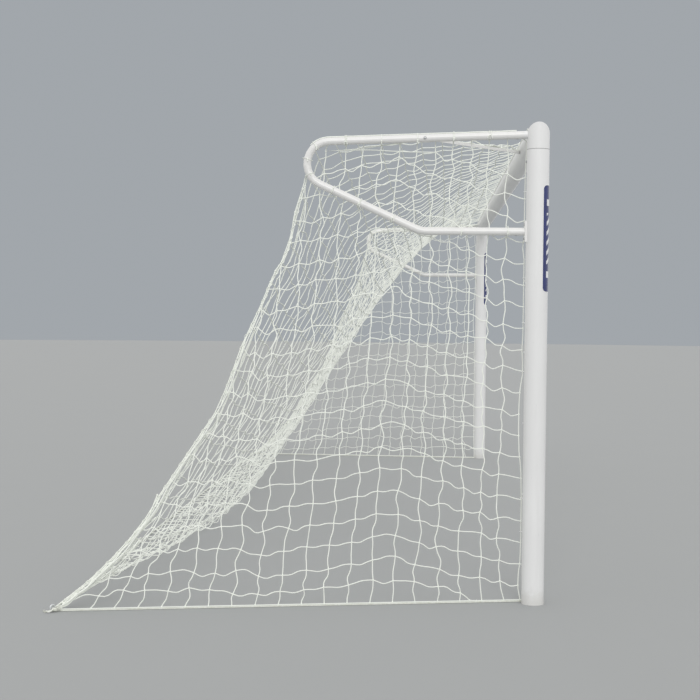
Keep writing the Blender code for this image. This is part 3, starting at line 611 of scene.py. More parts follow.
def back_point(u, v):
    """A point of the back panel: v runs from the ridge to the ground."""
    back, height = SEAM.at(v)
    inset = NET_INSET + SEAM_GAP / 2
    corner = share_past(v, DRAWN_FROM, DRAWN_OVER) * NET_CORNER
    ends = [at_side(side, side_out(side, inset, back, height) - corner, back, height) for side in SIDES]
    return hung(*ends, MID_BACK.at(v), u, 1 - FALL_FASTER * share_past(v, FALL_FROM, FALL_OVER))


def tidy_way(vectors):
    """Vectors of length one."""
    return vectors / np.maximum(np.linalg.norm(vectors, axis=-1, keepdims=True), 1e-9)


def squared_ways(across, down, share):
    """Turns two crossing directions towards a right angle, as a knot does to its strings."""
    across = tidy_way(across)
    down = tidy_way(down)
    plus = tidy_way(across + down)
    minus = tidy_way(across - down)
    square_across = tidy_way(plus + minus)
    square_down = tidy_way(plus - minus)
    return tidy_way(across + (square_across - across) * share), tidy_way(down + (square_down - down) * share)


def turned_ways(across, down, turn):
    """Two crossing directions with their knot turned a little."""
    return tidy_way(across + down * turn), tidy_way(down - across * turn)


def led_along(way, chord_way):
    """A knot's direction, made to run with the string; without one the string runs straight."""
    return chord_way if way is None else way * np.sign(np.dot(way, chord_way) or 1)


def string_line(knots, ways, net, chance, steps=6):
    """Points along one string: it leaves each knot the way the knot turns it, and between
    knots its spare length hangs down or, on an upright string, stands off to one side."""
    line = [knots[0]]
    for start, end, leaving, arriving in zip(knots, knots[1:], ways, ways[1:]):
        chord = end - start
        reach = np.linalg.norm(chord)
        chord_way = chord / max(reach, 1e-9)
        leaving = led_along(leaving, chord_way) * reach * net.stiffness
        arriving = led_along(arriving, chord_way) * reach * net.stiffness
        spare = max(0.0, net.mesh - reach) if reach > net.mesh * GATHERED_SHARE else 0.0
        sag = math.sqrt(ARC_SAG * reach * spare) * net.slack * chance.uniform(*SAG_RANGE)
        level = math.hypot(chord_way[0], chord_way[1])
        sideways = tidy_way(np.cross(chord_way, UPWARD) + 1e-6) * chance.choice((-1, 1)) * UPRIGHT_SAG
        hang = (sideways * (1 - level) - UPWARD * level) * sag
        for t in np.arange(1, steps + 1) / steps:
            line.append((2 * t ** 3 - 3 * t ** 2 + 1) * start + (3 * t ** 2 - 2 * t ** 3) * end
                        + (t ** 3 - 2 * t ** 2 + t) * leaving + (t ** 3 - t ** 2) * arriving
                        + 4 * t * (1 - t) * hang)
    return line


def clear_selection():
    """Deselects everything and leaves no active object."""
    bpy.ops.object.select_all(action="DESELECT")
    bpy.context.view_layer.objects.active = None


def choose(*items):
    """Selects these objects alone, the first of them active."""
    clear_selection()
    for item in items:
        item.select_set(True)
    bpy.context.view_layer.objects.active = items[0]


def in_scene(name, data):
    """A new object in the scene."""
    item = bpy.data.objects.new(name, data)
    bpy.context.scene.collection.objects.link(item)
    return item


def cord_mesh(name, lines, radius, sides=6):
    """A mesh of round cords along lines of points."""
    curve = bpy.data.curves.new(name, "CURVE")
    curve.dimensions = "3D"
    curve.bevel_depth = radius
    curve.bevel_resolution = sides // 2 - 2
    curve.use_fill_caps = True
    for line in lines:
        spline = curve.splines.new("POLY")
        spline.points.add(len(line) - 1)
        spline.points.foreach_set("co", np.column_stack((np.array(line), np.ones(len(line)))).ravel())
        spline.use_smooth = True
    choose(in_scene(name, curve))
    bpy.ops.object.convert(target="MESH")
    return bpy.context.view_layer.objects.active


def taken_shape(item):
    """A modelled object's points and faces, for copies; the object itself goes."""
    points = np.array([vertex.co[:] for vertex in item.data.vertices])
    faces = [tuple(face.vertices) for face in item.data.polygons]
    bpy.data.objects.remove(item)
    return points, faces


def knot_shape(width):
    """One knot: a small ball drawn out slantwise and pinched between its two turns."""
    clear_selection()
    bpy.ops.mesh.primitive_uv_sphere_add(segments=8, ring_count=5, radius=width / 2)
    ball = bpy.context.view_layer.objects.active
    bpy.ops.object.mode_set(mode="EDIT")
    bpy.ops.mesh.select_all(action="SELECT")
    bpy.ops.transform.resize(value=KNOT_SHARES)
    bpy.ops.transform.rotate(value=KNOT_SLANT, orient_axis="Z", center_override=(0, 0, 0))
    bpy.ops.object.mode_set(mode="OBJECT")
    for vertex in ball.data.vertices:
        off_pinch = (vertex.co.x + vertex.co.y) / (width * PINCH_WIDTH)
        vertex.co *= 1 - PINCH * math.exp(-off_pinch ** 2)
    return taken_shape(ball)


def knot_mesh(name, places, shape, chance, sizes=KNOT_SIZES):
    """A mesh of one shape's copies, each turned to lie in its net: a place is a point and two directions."""
    points, faces = shape
    corners = []
    sides = []
    for centre, across, down in places:
        normal = tidy_way(np.cross(across, down))
        turn = np.array((tidy_way(across), tidy_way(np.cross(normal, across)), normal))
        size = chance.uniform(*sizes)
        base = len(corners) * len(points)
        corners.append(points * size @ turn + centre)
        sides += [tuple(base + i for i in face) for face in faces]
    mesh = bpy.data.meshes.new(name)
    mesh.from_pydata(np.concatenate(corners).tolist(), [], sides)
    mesh.shade_smooth()
    return in_scene(name, mesh)


def in_panel(spot):
    """A knot's place where a panel runs back and up."""
    return spot, BACKWARD, UPWARD


def finish_piece(item, slot, *nodes):
    """Gives a finished piece its material and slot, lets it ride on the goal and stand for its nodes."""
    item.data.materials.clear()
    item.data.materials.append(bpy.data.materials[FINISHES[slot]])
    if nodes:
        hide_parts(*nodes)
    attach(item, "goal_frame")


def joined(name, *items):
    """Several meshes made one piece."""
    choose(*items)
    bpy.ops.object.join()
    item = bpy.context.view_layer.objects.active
    item.name = name
    item.data.name = name
    return item


def grid_net(names, columns, rows, point, net, chance, calm=1.0):
    """A square-meshed panel of knotted twine over a surface given by two shares, shared out along its
    columns among as many pieces as there are names."""
    grid = np.array([[point(i / columns, j / rows) for i in range(columns + 1)] for j in range(rows + 1)])
    wander = chance.normal(0.0, net.wander * calm, grid.shape)
    wander[0] = wander[-1] = 0.0
    wander[:, 0] = wander[:, -1] = 0.0
    grid = grid + wander * (1 + LYING_WANDER * np.clip(1 - grid[..., 2:] / LYING_BELOW, 0, 1))
    grid[..., 2] = np.maximum(grid[..., 2], KNOT_FLOOR)
    across, down = squared_ways(np.gradient(grid, axis=1), np.gradient(grid, axis=0), net.squareness)
    across, down = turned_ways(across, down, chance.normal(0.0, net.twist * calm, (rows + 1, columns + 1, 1)))

    def strings(lines, ways):
        """Strings through lines of knots, led by them except at the panel's edges."""
        led = [list(way) if 0 < i < len(ways) - 1 else [None] * len(way) for i, way in enumerate(ways)]
        return [string_line(list(line), way, net, chance, STRING_STEPS) for line, way in zip(lines, led)]

    row_lines = strings(grid, across)
    column_lines = strings(grid.swapaxes(0, 1), down.swapaxes(0, 1))
    spots = [(j, i) for j in range(1, rows) for i in range(1, columns)]
    spots += [(j, i) for j in (0, rows) for i in range(1, columns)]
    spots += [(j, i) for j in range(1, rows) for i in (0, columns)]
    pieces = []
    for part, name in enumerate(names):
        first, last = columns * part // len(names), columns * (part + 1) // len(names)
        own = range(first + min(part, 1), last + 1)
        lines = [line[first * STRING_STEPS:last * STRING_STEPS + 1] for line in row_lines]
        lines += [column_lines[i] for i in own]
        places = [(grid[j, i], across[j, i], down[j, i]) for j, i in spots if i in own]
        pieces.append(net_piece(name, lines, places, net, chance))
    return pieces


def net_piece(name, lines, places, net, chance):
    """Strings and their knots as one piece."""
    twine = cord_mesh(name + "_twine", lines, TWINE_RADIUS)
    knots = knot_mesh(name + "_knots", places, knot_shape(net.knot), chance)
    return joined(name, twine, knots)


# How far a side panel's first row and its other rows lie off level, at distances behind the post
ROW_LIFTS = {
    "left": (
        ((0.07, -0.125), (0.17, -0.104), (0.40, -0.060), (0.63, -0.010), (0.745, 0.012), (0.86, 0.004),
         (1.09, -0.027), (1.44, -0.055), (1.80, -0.023), (2.04, -0.020), (2.15, -0.031), (2.24, -0.042),
         (2.30, -0.048), (2.38, -0.080)),
        ((0.07, -0.150), (0.17, -0.130), (0.40, -0.083), (0.63, -0.028), (0.745, 0.012), (0.86, -0.004),
         (1.09, -0.044), (1.44, -0.086), (1.56, -0.055), (1.95, -0.055), (2.30, -0.083))),
    "right": (
        ((0.07, 0.0), (1.20, -0.010), (2.30, -0.060)),
        ((0.07, 0.0), (0.50, -0.052), (0.95, -0.048), (1.08, -0.036), (1.60, -0.115), (2.30, -0.230))),
}
ROW_START = 0.115
ROW_FIRST = {"left": 0.122, "right": 0.1155}
ROW_PITCH = {"left": 0.118, "right": 0.1155}
LIFT_GROWTH = {"left": ((0.24, 1.0), (2.5, 1.38)), "right": ((0.24, 0.35), (2.5, 1.25))}

# A side panel's uprights at the ground and at the tube, the forward lean of the rearmost, how those near
# the post bulge back from it, most in the middle of its height, and how all spread near the tube
GROUND_START = 0.031
GROUND_PITCH = 0.1193
TOP_START = 0.0528
LEAN_FROM = 13
LEAN = 0.37
POST_BELLY = 0.04
BELLY_FOOT, BELLY_HEAD = 0.25, 1.8
TOP_SPREAD = (0.0127, 0.0033)
SPREAD_FROM, SPREAD_OVER = 1.50, 0.70

# A side panel's knots are clear of its top and of its other edges, and square their strings less over the
# last stretch to the rear corner. A row that starts on the rope does so short of its first knot, by a
# share of the uprights' spacing, and meets the tube only past the post.
TOP_CLEAR = 0.035
EDGE_CLEAR = 0.03
CORNER_EASE = 0.45
ROPE_START = 0.75
ROW_CLEAR_OF_POST = 0.2

# Steps along a string: to find its end, and to take its direction
SEARCH_STEP = 0.002
WAY_STEP = 0.01

# Strings drawn in to the rear corners: the knots of the back panel that they start at, as columns
# in and rows down, and the bundle that they end in
SEAM_STARTS = ((0, 1), (1, 2), (1, 8))
FAN_STRINGS = 11
FAN_FIRST = (0, 16)
FAN_LAST = (3, 20)
BUNDLE_RADIUS = 0.0095
BUNDLE_HEIGHT = 0.018
BUNDLE_INSET = 0.007

# Such a string's knots: their spacing as a share of a mesh, how they wander, which lessens towards the
# corner to a share of it, and their least height
GATHER_PITCH = 0.94
GATHER_WANDER = (0.004, 0.007, 0.007)
GATHER_TIGHT = 0.25
GATHER_FLOOR = 0.008

# The tie of a bundle to its peg. The whipping and the knot reach along the bundle. The knot and the tails'
# points are given as distance outboard of the peg, behind it and above the ground. The leads and the tails
# start at points of the knot's winding.
WHIPPING_REACH = (-0.010, 0.006)
WHIPPING_ROOM = 0.001
LOOP_ROOM = 0.0006
LOOP_LIFT = 0.0015
LOOP_DIP = np.array((0.0, 0.0, -0.002))
PEG_KNOT = (0.0235, -0.010, 0.0135)
PEG_KNOT_REACH = (-0.011, 0.009)
PEG_KNOT_RADIUS = 0.0075
LEAD_RISES = ((0, 0.0), (7, 0.004))
LEAD_BEND = (0.007, -0.022)
TAIL_STARTS = (-1, -4)
TAIL_ROUTES = (
    ((0.032, 0.006, 0.012), (0.034, 0.020, 0.006), (0.031, 0.036, 0.0055)),
    ((0.040, 0.002, 0.013), (0.046, 0.012, 0.0065), (0.049, 0.024, 0.0055)))

# The fibres of a frayed tail
FRAY_RADIUS = 0.0012
FRAY_COUNT = 14
FRAY_REACH = (0.008, 0.017)
FRAY_SPREAD = 0.32
FRAY_FLOOR = 0.0014

# Ties of the net on the tubes: how far they stand off over the net's strings and how wide that is, in
# radians, as over the edge cord; the spacing of their turns, their lean, and their ends
TIE_RADIUS = 0.0015
TIE_BULGE = 0.027
TIE_BULGE_TURN = 0.85
TIE_CORD_TURN = 0.45
TIE_PITCH = 0.0036
TIE_START = (-0.5, 0.3)
TIE_LEAN = 0.006
TIE_END_OUT = 0.004
TIE_END_FALL = (0.010, 0.022)
TIE_KNOT_OUT = 0.002
TIE_KNOT_SHARE = 0.9
TIP_TIES = (52, 12, -28)
DIAGONAL_TIES = (0.075, 0.235, 0.43)
LOWER_TIES = (0.155, 0.40)

# The cord along a support, and the lacing down a rear seam
EDGE_CORD_START = 0.115
EDGE_CORD_WANDER = 0.0022
EDGE_CORD_SLIP = 0.05
LACING_RADIUS = 0.009
LACING_PITCH = 0.07
LACING_STEPS = 9
LACING_FOOT = 0.985

# Clips on the posts and the crossbar: their loop, their foot, which is inset and crowned, their heights on
# the near post, and the level that a post's clips are fitted at
CLIP_RADIUS = 0.0020
CLIP_INSIDE = 0.0036
CLIP_FOOT = (0.0095, 0.0062, 0.0016)
CLIP_INSET = 0.0012
CLIP_CROWN = 0.0008
CLIP_SEAT = 0.0012
ONE_SIZE = (1.0, 1.0)
POST_CLIPS = (0.38, 0.56, 1.24, 1.50, 1.74, 2.20)
CLIP_LEVEL = 1.5

# How far behind the post's axis a side panel's front edge hangs, by height
POST_EDGE = ((0.0, 0.061), (0.03, 0.068), (0.08, 0.077), (0.16, 0.075), (0.21, 0.067), (0.35, 0.064),
             (0.55, 0.064), (0.69, 0.067), (0.75, 0.072), (0.80, 0.079), (0.92, 0.083), (1.05, 0.083),
             (1.13, 0.079), (1.17, 0.075), (1.21, 0.066), (1.30, 0.066), (1.36, 0.071), (1.42, 0.066),
             (1.84, 0.065), (1.90, 0.073), (1.97, 0.066), (2.30, 0.064), (2.45, 0.058))
POST_EDGE_LEAST = 0.08


def row_height(side, row, back):
    """Height of a side panel's row at a distance behind the post."""
    level = ROW_FIRST[side] + ROW_PITCH[side] * (row - 1)
    lift = between(back, ROW_LIFTS[side][min(row, 2) - 1])
    return level + (lift if row == 1 else lift * between(level, LIFT_GROWTH[side]))


def column_back(net, column, height):
    """Distance behind the post of a side panel's upright at a height."""
    ground = GROUND_START + GROUND_PITCH * column
    top = TOP_START + net.top_pitch * column
    lean = LEAN * (max(0, column - LEAN_FROM) / (net.side_columns - 1 - LEAN_FROM)) ** 2
    belly = POST_BELLY / max(column, 1) * min(1.0, height / BELLY_FOOT, (BAR_Z - height) / BELLY_HEAD)
    spread = (TOP_SPREAD[0] + TOP_SPREAD[1] * column) * share_past(height, SPREAD_FROM, SPREAD_OVER)
    return ground + (top - ground) * height / BAR_Z - lean * height + belly + spread


def front_edge(side, height):
    """Distance back of a side panel's front edge; the far post's edge hangs the other way up."""
    return between(height if side == "left" else max(BAR_Z - height, POST_EDGE_LEAST), POST_EDGE)


def panel_top(back):
    """Upper limit of a side panel: under the upper tube's edge string, then round the tip."""
    if back <= TIP_Y:
        return tube_z(back) - SIDE_DROP
    radius = TIP_RADIUS - SEAM_GAP
    return TIP_Z + math.sqrt(max(0.0, radius ** 2 - (back - TIP_Y) ** 2))


def on_panel(side, back, height, chance=None, wander=0.0):
    """World place of a side panel's point, a little off its sheet where chance is given."""
    point = at_side(side, side_out(side, NET_INSET, back, height), back, height)
    if chance is not None:
        point = point + chance.normal(0.0, 1.0, 3) * (wander * 0.8, wander, wander)
    return point


def crossing(net, side, column, row):
    """Where an upright crosses a row, as distance back and height, closed in on step by step."""
    height = ROW_START * row
    for _ in range(8):
        back = column_back(net, column, height)
        height = row_height(side, row, back)
    return back, height


def seam_back(height):
    """Distance back of a side panel's rear edge at a height."""
    return SEAM.back_at(height) - SEAM_GAP


def row_rear_end(side, row):
    """Where a row meets the tube or the rear seam."""
    back = NET_FRONT
    while back < NET_REACH:
        height = row_height(side, row, back)
        if back > seam_back(height) or (back > ROW_CLEAR_OF_POST and height > panel_top(back)):
            break
        back += SEARCH_STEP
    return back, row_height(side, row, back)


def column_top_end(net, column):
    """Where an upright ends: on the upper tube or on the rear seam."""
    height = NET_FLOOR
    back = column_back(net, column, height)
    while height < panel_top(min(back, TIP_Y + TIP_RADIUS - SEAM_GAP)) and back < seam_back(height):
        height += SEARCH_STEP
        back = column_back(net, column, height)
    return back, height


def knot_ways(net, side, column, row, chance):
    """The ways in which a side panel's knot holds its row and its upright; it squares them less near the
    rear corner, where they are drawn together."""
    back, height = crossing(net, side, column, row)
    here = on_panel(side, back, height)
    ahead = on_panel(side, back + WAY_STEP, row_height(side, row, back + WAY_STEP)) - here
    below = on_panel(side, column_back(net, column, height - WAY_STEP), height - WAY_STEP) - here
    squareness = net.squareness * min(1.0, (NET_REACH - back) / CORNER_EASE)
    return turned_ways(*squared_ways(ahead, below, squareness), chance.normal(0.0, net.twist))


def side_net(name, side, net, chance):
    """One side panel: uprights gathered on the tube and spread on the ground, crossed by rows."""
    spots = {}
    ways = {}
    for column in range(1, net.side_columns):
        limit = column_top_end(net, column)[1] - TOP_CLEAR
        for row in range(1, net.side_rows + 1):
            back, height = crossing(net, side, column, row)
            if NET_FLOOR + EDGE_CLEAR <= height <= limit and back <= seam_back(height) - EDGE_CLEAR:
                spots[column, row] = on_panel(side, back, height, chance, net.wander)
                ways[column, row] = knot_ways(net, side, column, row, chance)
    lines = []
    ends = []

    def tie_in(keys, start, end, way):
        """Adds one string through its knots and ties both its ends."""
        lines.append(string_line([start, *(spots[key] for key in keys), end],
                                 [None, *(ways[key][way] for key in keys), None], net, chance))
        ends.extend((in_panel(start), in_panel(end)))

    edge_top = BAR_Z - NET_INSET - TWINE
    for row in range(1, net.side_rows + 1):
        keys = [key for key in sorted(spots) if key[1] == row]
        if not keys:
            continue
        front = row_height(side, row, NET_FRONT)
        if front < NET_FLOOR + EDGE_CLEAR:
            start = on_panel(side, column_back(net, keys[0][0] - ROPE_START, NET_FLOOR), NET_FLOOR)
        else:
            front = min(front, edge_top)
            start = on_panel(side, front_edge(side, front), front)
        back, height = row_rear_end(side, row)
        end = on_panel(side, min(back, NET_REACH - NET_CORNER), max(height, NET_FLOOR))
        tie_in(keys, start, end, 0)
    for column in range(1, net.side_columns):
        keys = [key for key in sorted(spots) if key[0] == column]
        bottom = on_panel(side, column_back(net, column, NET_FLOOR), NET_FLOOR)
        tie_in(keys, bottom, on_panel(side, *column_top_end(net, column)), 1)
    lines += side_borders(side, edge_top)
    places = [(spots[key], *ways[key]) for key in sorted(spots)] + ends
    return net_piece(name, lines, places, net, chance)


def side_borders(side, edge_top):
    """Edge strings of a side panel: up the post, along the tube, down the seam and on the rope."""
    rear = NET_REACH - NET_CORNER
    post = [on_panel(side, front_edge(side, height), height)
            for height in np.linspace(NET_FLOOR, edge_top, 80)]
    last = TIP_Y + (TIP_RADIUS - SEAM_GAP) * math.cos(RIDGE_ANGLE - SEAM_GAP / TIP_RADIUS)
    tube = [on_panel(side, back, panel_top(back)) for back in np.linspace(NET_FRONT, last, 41)]
    tube[0] = on_panel(side, NET_FRONT, edge_top)
    seam = [on_panel(side, min(seam_back(height), rear), height)
            for height in np.linspace(panel_top(last), NET_FLOOR, 60)]
    ground = [on_panel(side, back, NET_FLOOR) for back in np.linspace(NET_FRONT, rear, 41)]
    return [post, tube, seam, ground]


def gathered_line(side, column, row, net, chance):
    """A string drawn in from a knot of the back panel to its rear corner: loose above, tight at the foot."""
    bundle = bundle_spot(side)
    share_in, share_up = column / net.columns, 1 - row / net.back_rows

    def spot(share):
        u = share_in * share
        return back_point(u if side == "left" else 1 - u, 1 - share_up * share)

    corner = spot(0.0)
    count = max(2, round(np.linalg.norm(spot(1.0) - bundle) / (net.mesh * GATHER_PITCH)))
    knots = []
    for i in range(count):
        share = 1 - i / count
        looseness = GATHER_TIGHT + (1 - GATHER_TIGHT) * share
        knot = spot(share) + (bundle - corner) * (1 - share)
        knot = knot + chance.normal(0.0, 1.0, 3) * GATHER_WANDER * looseness
        knot[2] = max(knot[2], GATHER_FLOOR)
        knots.append(knot)
    turn = chance.uniform(0, 2 * math.pi)
    reach = BUNDLE_RADIUS * math.sqrt(chance.uniform(0.0, 1.0))
    knots.append(bundle + np.array((math.cos(turn), 0.0, math.sin(turn))) * reach)
    return string_line(knots, [None] * len(knots), net, chance, STRING_STEPS), knots


def bundle_spot(side):
    """Middle of the bundle that a rear corner's strings end in."""
    return at_side(side, NET_OUTSET[side] - BUNDLE_INSET, NET_REACH - NET_CORNER, BUNDLE_HEIGHT)


def peg_spot(side):
    """Axis of a peg, as distance outboard of the post and behind it."""
    low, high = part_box("net_peg_" + side)
    return min(abs(low.x), abs(high.x)) + PEG_RADIUS - HALF_SPAN, low.y + PEG_RADIUS


def wound(ends, frames, radii, turns):
    """A cord wound round a straight line; the frames are the two directions square to it."""
    start, end = ends
    line = []
    count = round(turns * WINDING_STEPS)
    for i in range(count + 1):
        angle = 2 * math.pi * turns * i / count
        around = frames[0] * math.cos(angle) + frames[1] * math.sin(angle)
        line.append(start + (end - start) * i / count + around * radii(angle))
    return line


def corner_bundle(side, net, chance):
    """The strings drawn in down a rear seam and fanning out of the corner over the back panel."""
    starts = list(SEAM_STARTS)
    for spot in np.linspace(FAN_FIRST, FAN_LAST, FAN_STRINGS):
        starts.append(tuple(round(value) for value in spot))
    lines = []
    places = []
    for column, row in starts:
        line, knots = gathered_line(side, column, row, net, chance)
        lines.append(line)
        places += [in_panel(knot) for knot in knots[:-1]]
    return lines, places


def corner_tie(side, chance):
    """The tie that holds a corner's bundle to its peg: whipping, a loop round the peg, a knot outboard
    of it and two tails. The loop lies over the ground rope and under the peg's hook."""
    bundle = bundle_spot(side)
    out, back = peg_spot(side)

    def beside(outboard, behind, height):
        """A place laid out from the peg."""
        return at_side(side, out + outboard, back + behind, height)

    frames = (UPWARD, np.array((1.0, 0.0, 0.0)))
    gap = BUNDLE_RADIUS + TWINE_RADIUS
    whipping = wound([bundle + BACKWARD * reach for reach in WHIPPING_REACH], frames,
                     lambda angle: gap + WHIPPING_ROOM, 4)
    bend = PEG_RADIUS + TWINE_RADIUS + LOOP_ROOM
    level = 2 * ROPE_RADIUS + TWINE_RADIUS + LOOP_LIFT
    waist = [bundle + np.array((SIDES[side] * gap * way, 0.0, 0.0)) + LOOP_DIP for way in (1, -1)]
    turns = np.linspace(0, math.pi, 9)
    loop = [waist[0], *(beside(bend * math.cos(a), bend * math.sin(a), level) for a in turns), waist[1]]
    winding = wound([beside(*PEG_KNOT) + BACKWARD * reach for reach in PEG_KNOT_REACH], frames,
                    lambda angle: PEG_KNOT_RADIUS, 4)
    cords = [smooth_line(loop), winding]
    for start, rise in LEAD_RISES:
        way = (bend + LEAD_BEND[0], LEAD_BEND[1], PEG_KNOT[2])
        cords.append(smooth_line([spot + UPWARD * rise for spot in (waist[0], beside(*way), winding[start])]))
    tails = [smooth_line([winding[start], *(beside(*spot) for spot in route)])
             for start, route in zip(TAIL_STARTS, TAIL_ROUTES)]
    fibres = []
    for tail in tails:
        way = tidy_way(tail[-1] - tail[-2])
        for _ in range(FRAY_COUNT):
            spread = tidy_way(way + chance.normal(0.0, FRAY_SPREAD, 3))
            reach = chance.uniform(*FRAY_REACH)
            fibre = [tail[-1], tail[-1] + (way * 0.35 + spread * 0.2) * reach, tail[-1] + spread * reach]
            fibres.append([np.maximum(point, (-np.inf, -np.inf, FRAY_FLOOR)) for point in fibre])
    return whipping, cords, tails, fibres


def smooth_line(points, steps=5):
    """A smooth line through a few points."""
    points = [np.array(point) for point in points]
    ends = [2 * points[0] - points[1], *points, 2 * points[-1] - points[-2]]
    line = []
    for before, start, end, after in zip(ends, ends[1:], ends[2:], ends[3:]):
        curve = 2 * before - 5 * start + 4 * end - after
        twist = 3 * start - before - 3 * end + after
        for t in np.arange(steps) / steps:
            line.append(0.5 * (2 * start + (end - before) * t + curve * t ** 2 + twist * t ** 3))
    return line + [points[-1]]


def tube_tie(centre, along, turns, chance):
    """A cord tied round a support tube and the net strings inboard of it, with its two ends."""
    side = math.copysign(1, centre[0])
    outward = np.array((side, 0.0, 0.0))
    upward = np.cross(outward, along) * side
    start = chance.uniform(*TIE_START)

    def hump(angle, width):
        """How near an angle is to half a turn, from 0 to 1."""
        return math.exp(-((angle % (2 * math.pi) - math.pi) / width) ** 2)

    def radius(angle):
        bulge = TIE_BULGE * hump(angle + start, TIE_BULGE_TURN)
        bulge += TWINE * hump(angle + start + math.pi / 2, TIE_CORD_TURN)
        return TUBE_RADIUS + SEAT_GAP + TIE_RADIUS + bulge

    reach = turns * TIE_PITCH / 2 + chance.uniform(-TIE_LEAN, TIE_LEAN)
    first = outward * math.cos(start) + upward * math.sin(start)
    second = upward * math.cos(start) - outward * math.sin(start)
    line = wound([centre - along * reach, centre + along * reach], (first, second), radius, turns)
    cords = [line]
    for end in (line[0], line[-1]):
        sideways, down = chance.uniform(-TIE_LEAN, TIE_LEAN), chance.uniform(*TIE_END_FALL)
        fall = np.array((side * TIE_END_OUT, sideways, -down))
        top = end + first * TIE_END_OUT
        cords.append([end, top + fall * 0.35, top + fall])
    return cords, ((line[0] + line[-1]) / 2 + first * TIE_KNOT_OUT, along, second)


def tie_places(side, net):
    """Where a side's ties go: over every second upright, round the tip, on the diagonal and below."""
    places = []
    for column in range(2, net.side_columns, 2):
        back = column_top_end(net, column)[0]
        if back < TIP_Y:
            places.append(((back, tube_z(back)), (math.cos(SUPPORT_DROOP), -math.sin(SUPPORT_DROOP))))
    for angle in TIP_TIES:
        turn = math.radians(angle)
        places.append((on_tip(turn), (math.sin(turn), -math.cos(turn))))
    foot = on_tip(DIAGONAL_SLOPE - math.pi / 2)
    way = (-math.cos(DIAGONAL_SLOPE), -math.sin(DIAGONAL_SLOPE))
    places += [((foot[0] + way[0] * reach, foot[1] + way[1] * reach), way) for reach in DIAGONAL_TIES]
    places += [((back, LOWER_Z), (1.0, 0.0)) for back in LOWER_TIES]
    return [(at_side(side, 0.0, *spot), np.array((0.0, *way))) for spot, way in places]


def edge_cord(side, chance):
    """Line of the cord that the net's upper edge is tied to: along the top of the support to the ridge."""
    above = TUBE_RADIUS + SEAT_GAP + TWINE_RADIUS
    line = [(back, tube_z(back) + above) for back in np.linspace(EDGE_CORD_START, TIP_Y, 34)]
    line += [on_tip(angle, TIP_RADIUS + above) for angle in np.linspace(math.pi / 2, RIDGE_ANGLE, 7)[1:]]
    shifts = chance.normal(0.0, EDGE_CORD_WANDER, len(line))
    return [at_side(side, 0.0, *spot) + np.array((shift, 0.0, -abs(shift) * EDGE_CORD_SLIP))
            for spot, shift in zip(line, shifts)]


def clip_shape(reach):
    """One net clip: a moulded loop over a string on a small foot, its string along Z, the metal below."""
    bend = CLIP_INSIDE + CLIP_RADIUS
    arch = [(bend * math.cos(angle), bend * math.sin(angle), 0.0) for angle in np.linspace(0, math.pi, 7)]
    loop = cord_mesh("clip_loop", [[(bend, -reach, 0.0), *arch, (-bend, -reach, 0.0)]], CLIP_RADIUS)
    clear_selection()
    bpy.ops.mesh.primitive_cylinder_add(vertices=12, radius=1.0, depth=2.0, location=(0, 0, 0))
    foot = bpy.context.view_layer.objects.active
    bpy.ops.object.mode_set(mode="EDIT")
    bpy.ops.mesh.select_all(action="SELECT")
    bpy.ops.transform.resize(value=CLIP_FOOT)
    bpy.ops.mesh.select_all(action="DESELECT")
    bpy.ops.object.mode_set(mode="OBJECT")
    for face in foot.data.polygons:
        face.select = face.normal.z > 0.9
    bpy.ops.object.mode_set(mode="EDIT")
    bpy.ops.mesh.inset(thickness=CLIP_INSET)
    bpy.ops.transform.translate(value=(0, 0, CLIP_CROWN))
    bpy.ops.object.mode_set(mode="OBJECT")
    foot.rotation_euler = (-math.pi / 2, 0, 0)
    foot.location = (0, -reach + CLIP_SEAT, 0)
    choose(foot)
    bpy.ops.object.transform_apply(location=True, rotation=True, scale=True)
    return taken_shape(joined("clip", loop, foot))


def rope_route():
    """Centre line of the ground rope from post to post round both pegs, as in the frame."""
    start = Vector((-NET_INSET, math.sqrt((POST_RADIUS + SEAT_GAP + ROPE_RADIUS) ** 2 - NET_INSET ** 2)))
    bend = PEG_RADIUS + SEAT_GAP + ROPE_RADIUS
    inboard = Vector((-1, 0))
    route = []
    for side in SIDES:
        corner = Vector((NET_OUTSET[side], NET_REACH))
        along = (corner - start).normalized()
        inward = (inboard - along).normalized()
        centre = corner + inward * (bend / math.sin(inward.angle(inboard)))
        tangent = math.atan2(-along.x, along.y)
        plan = [start.lerp(corner, i / 40) for i in range(39)]
        plan += [centre + Vector((math.cos(angle), math.sin(angle))) * bend
                 for angle in np.linspace(tangent, math.pi / 2, 9)]
        points = [at_side(side, *spot, ROPE_RADIUS) for spot in plan]
        route += points if side == "left" else points[::-1]
    return route


def lacing_line(points):
    """The lacing: a cord wound round the line of a seam."""
    points = np.array(points)
    lengths = np.concatenate(([0.0], np.cumsum(np.linalg.norm(np.diff(points, axis=0), axis=1))))

    def spot(length):
        return np.array([np.interp(length, lengths, points[:, axis]) for axis in range(3)])

    count = int(lengths[-1] / LACING_PITCH * LACING_STEPS)
    line = []
    for i in range(count + 1):
        reach = lengths[-1] * i / count
        way = tidy_way(spot(reach + WAY_STEP) - spot(reach - WAY_STEP))
        first = tidy_way(np.cross(way, (1.0, 0.2, 0.1)))
        second = np.cross(way, first)
        angle = 2 * math.pi * i / LACING_STEPS
        line.append(spot(reach) + (first * math.cos(angle) + second * math.sin(angle)) * LACING_RADIUS)
    return line


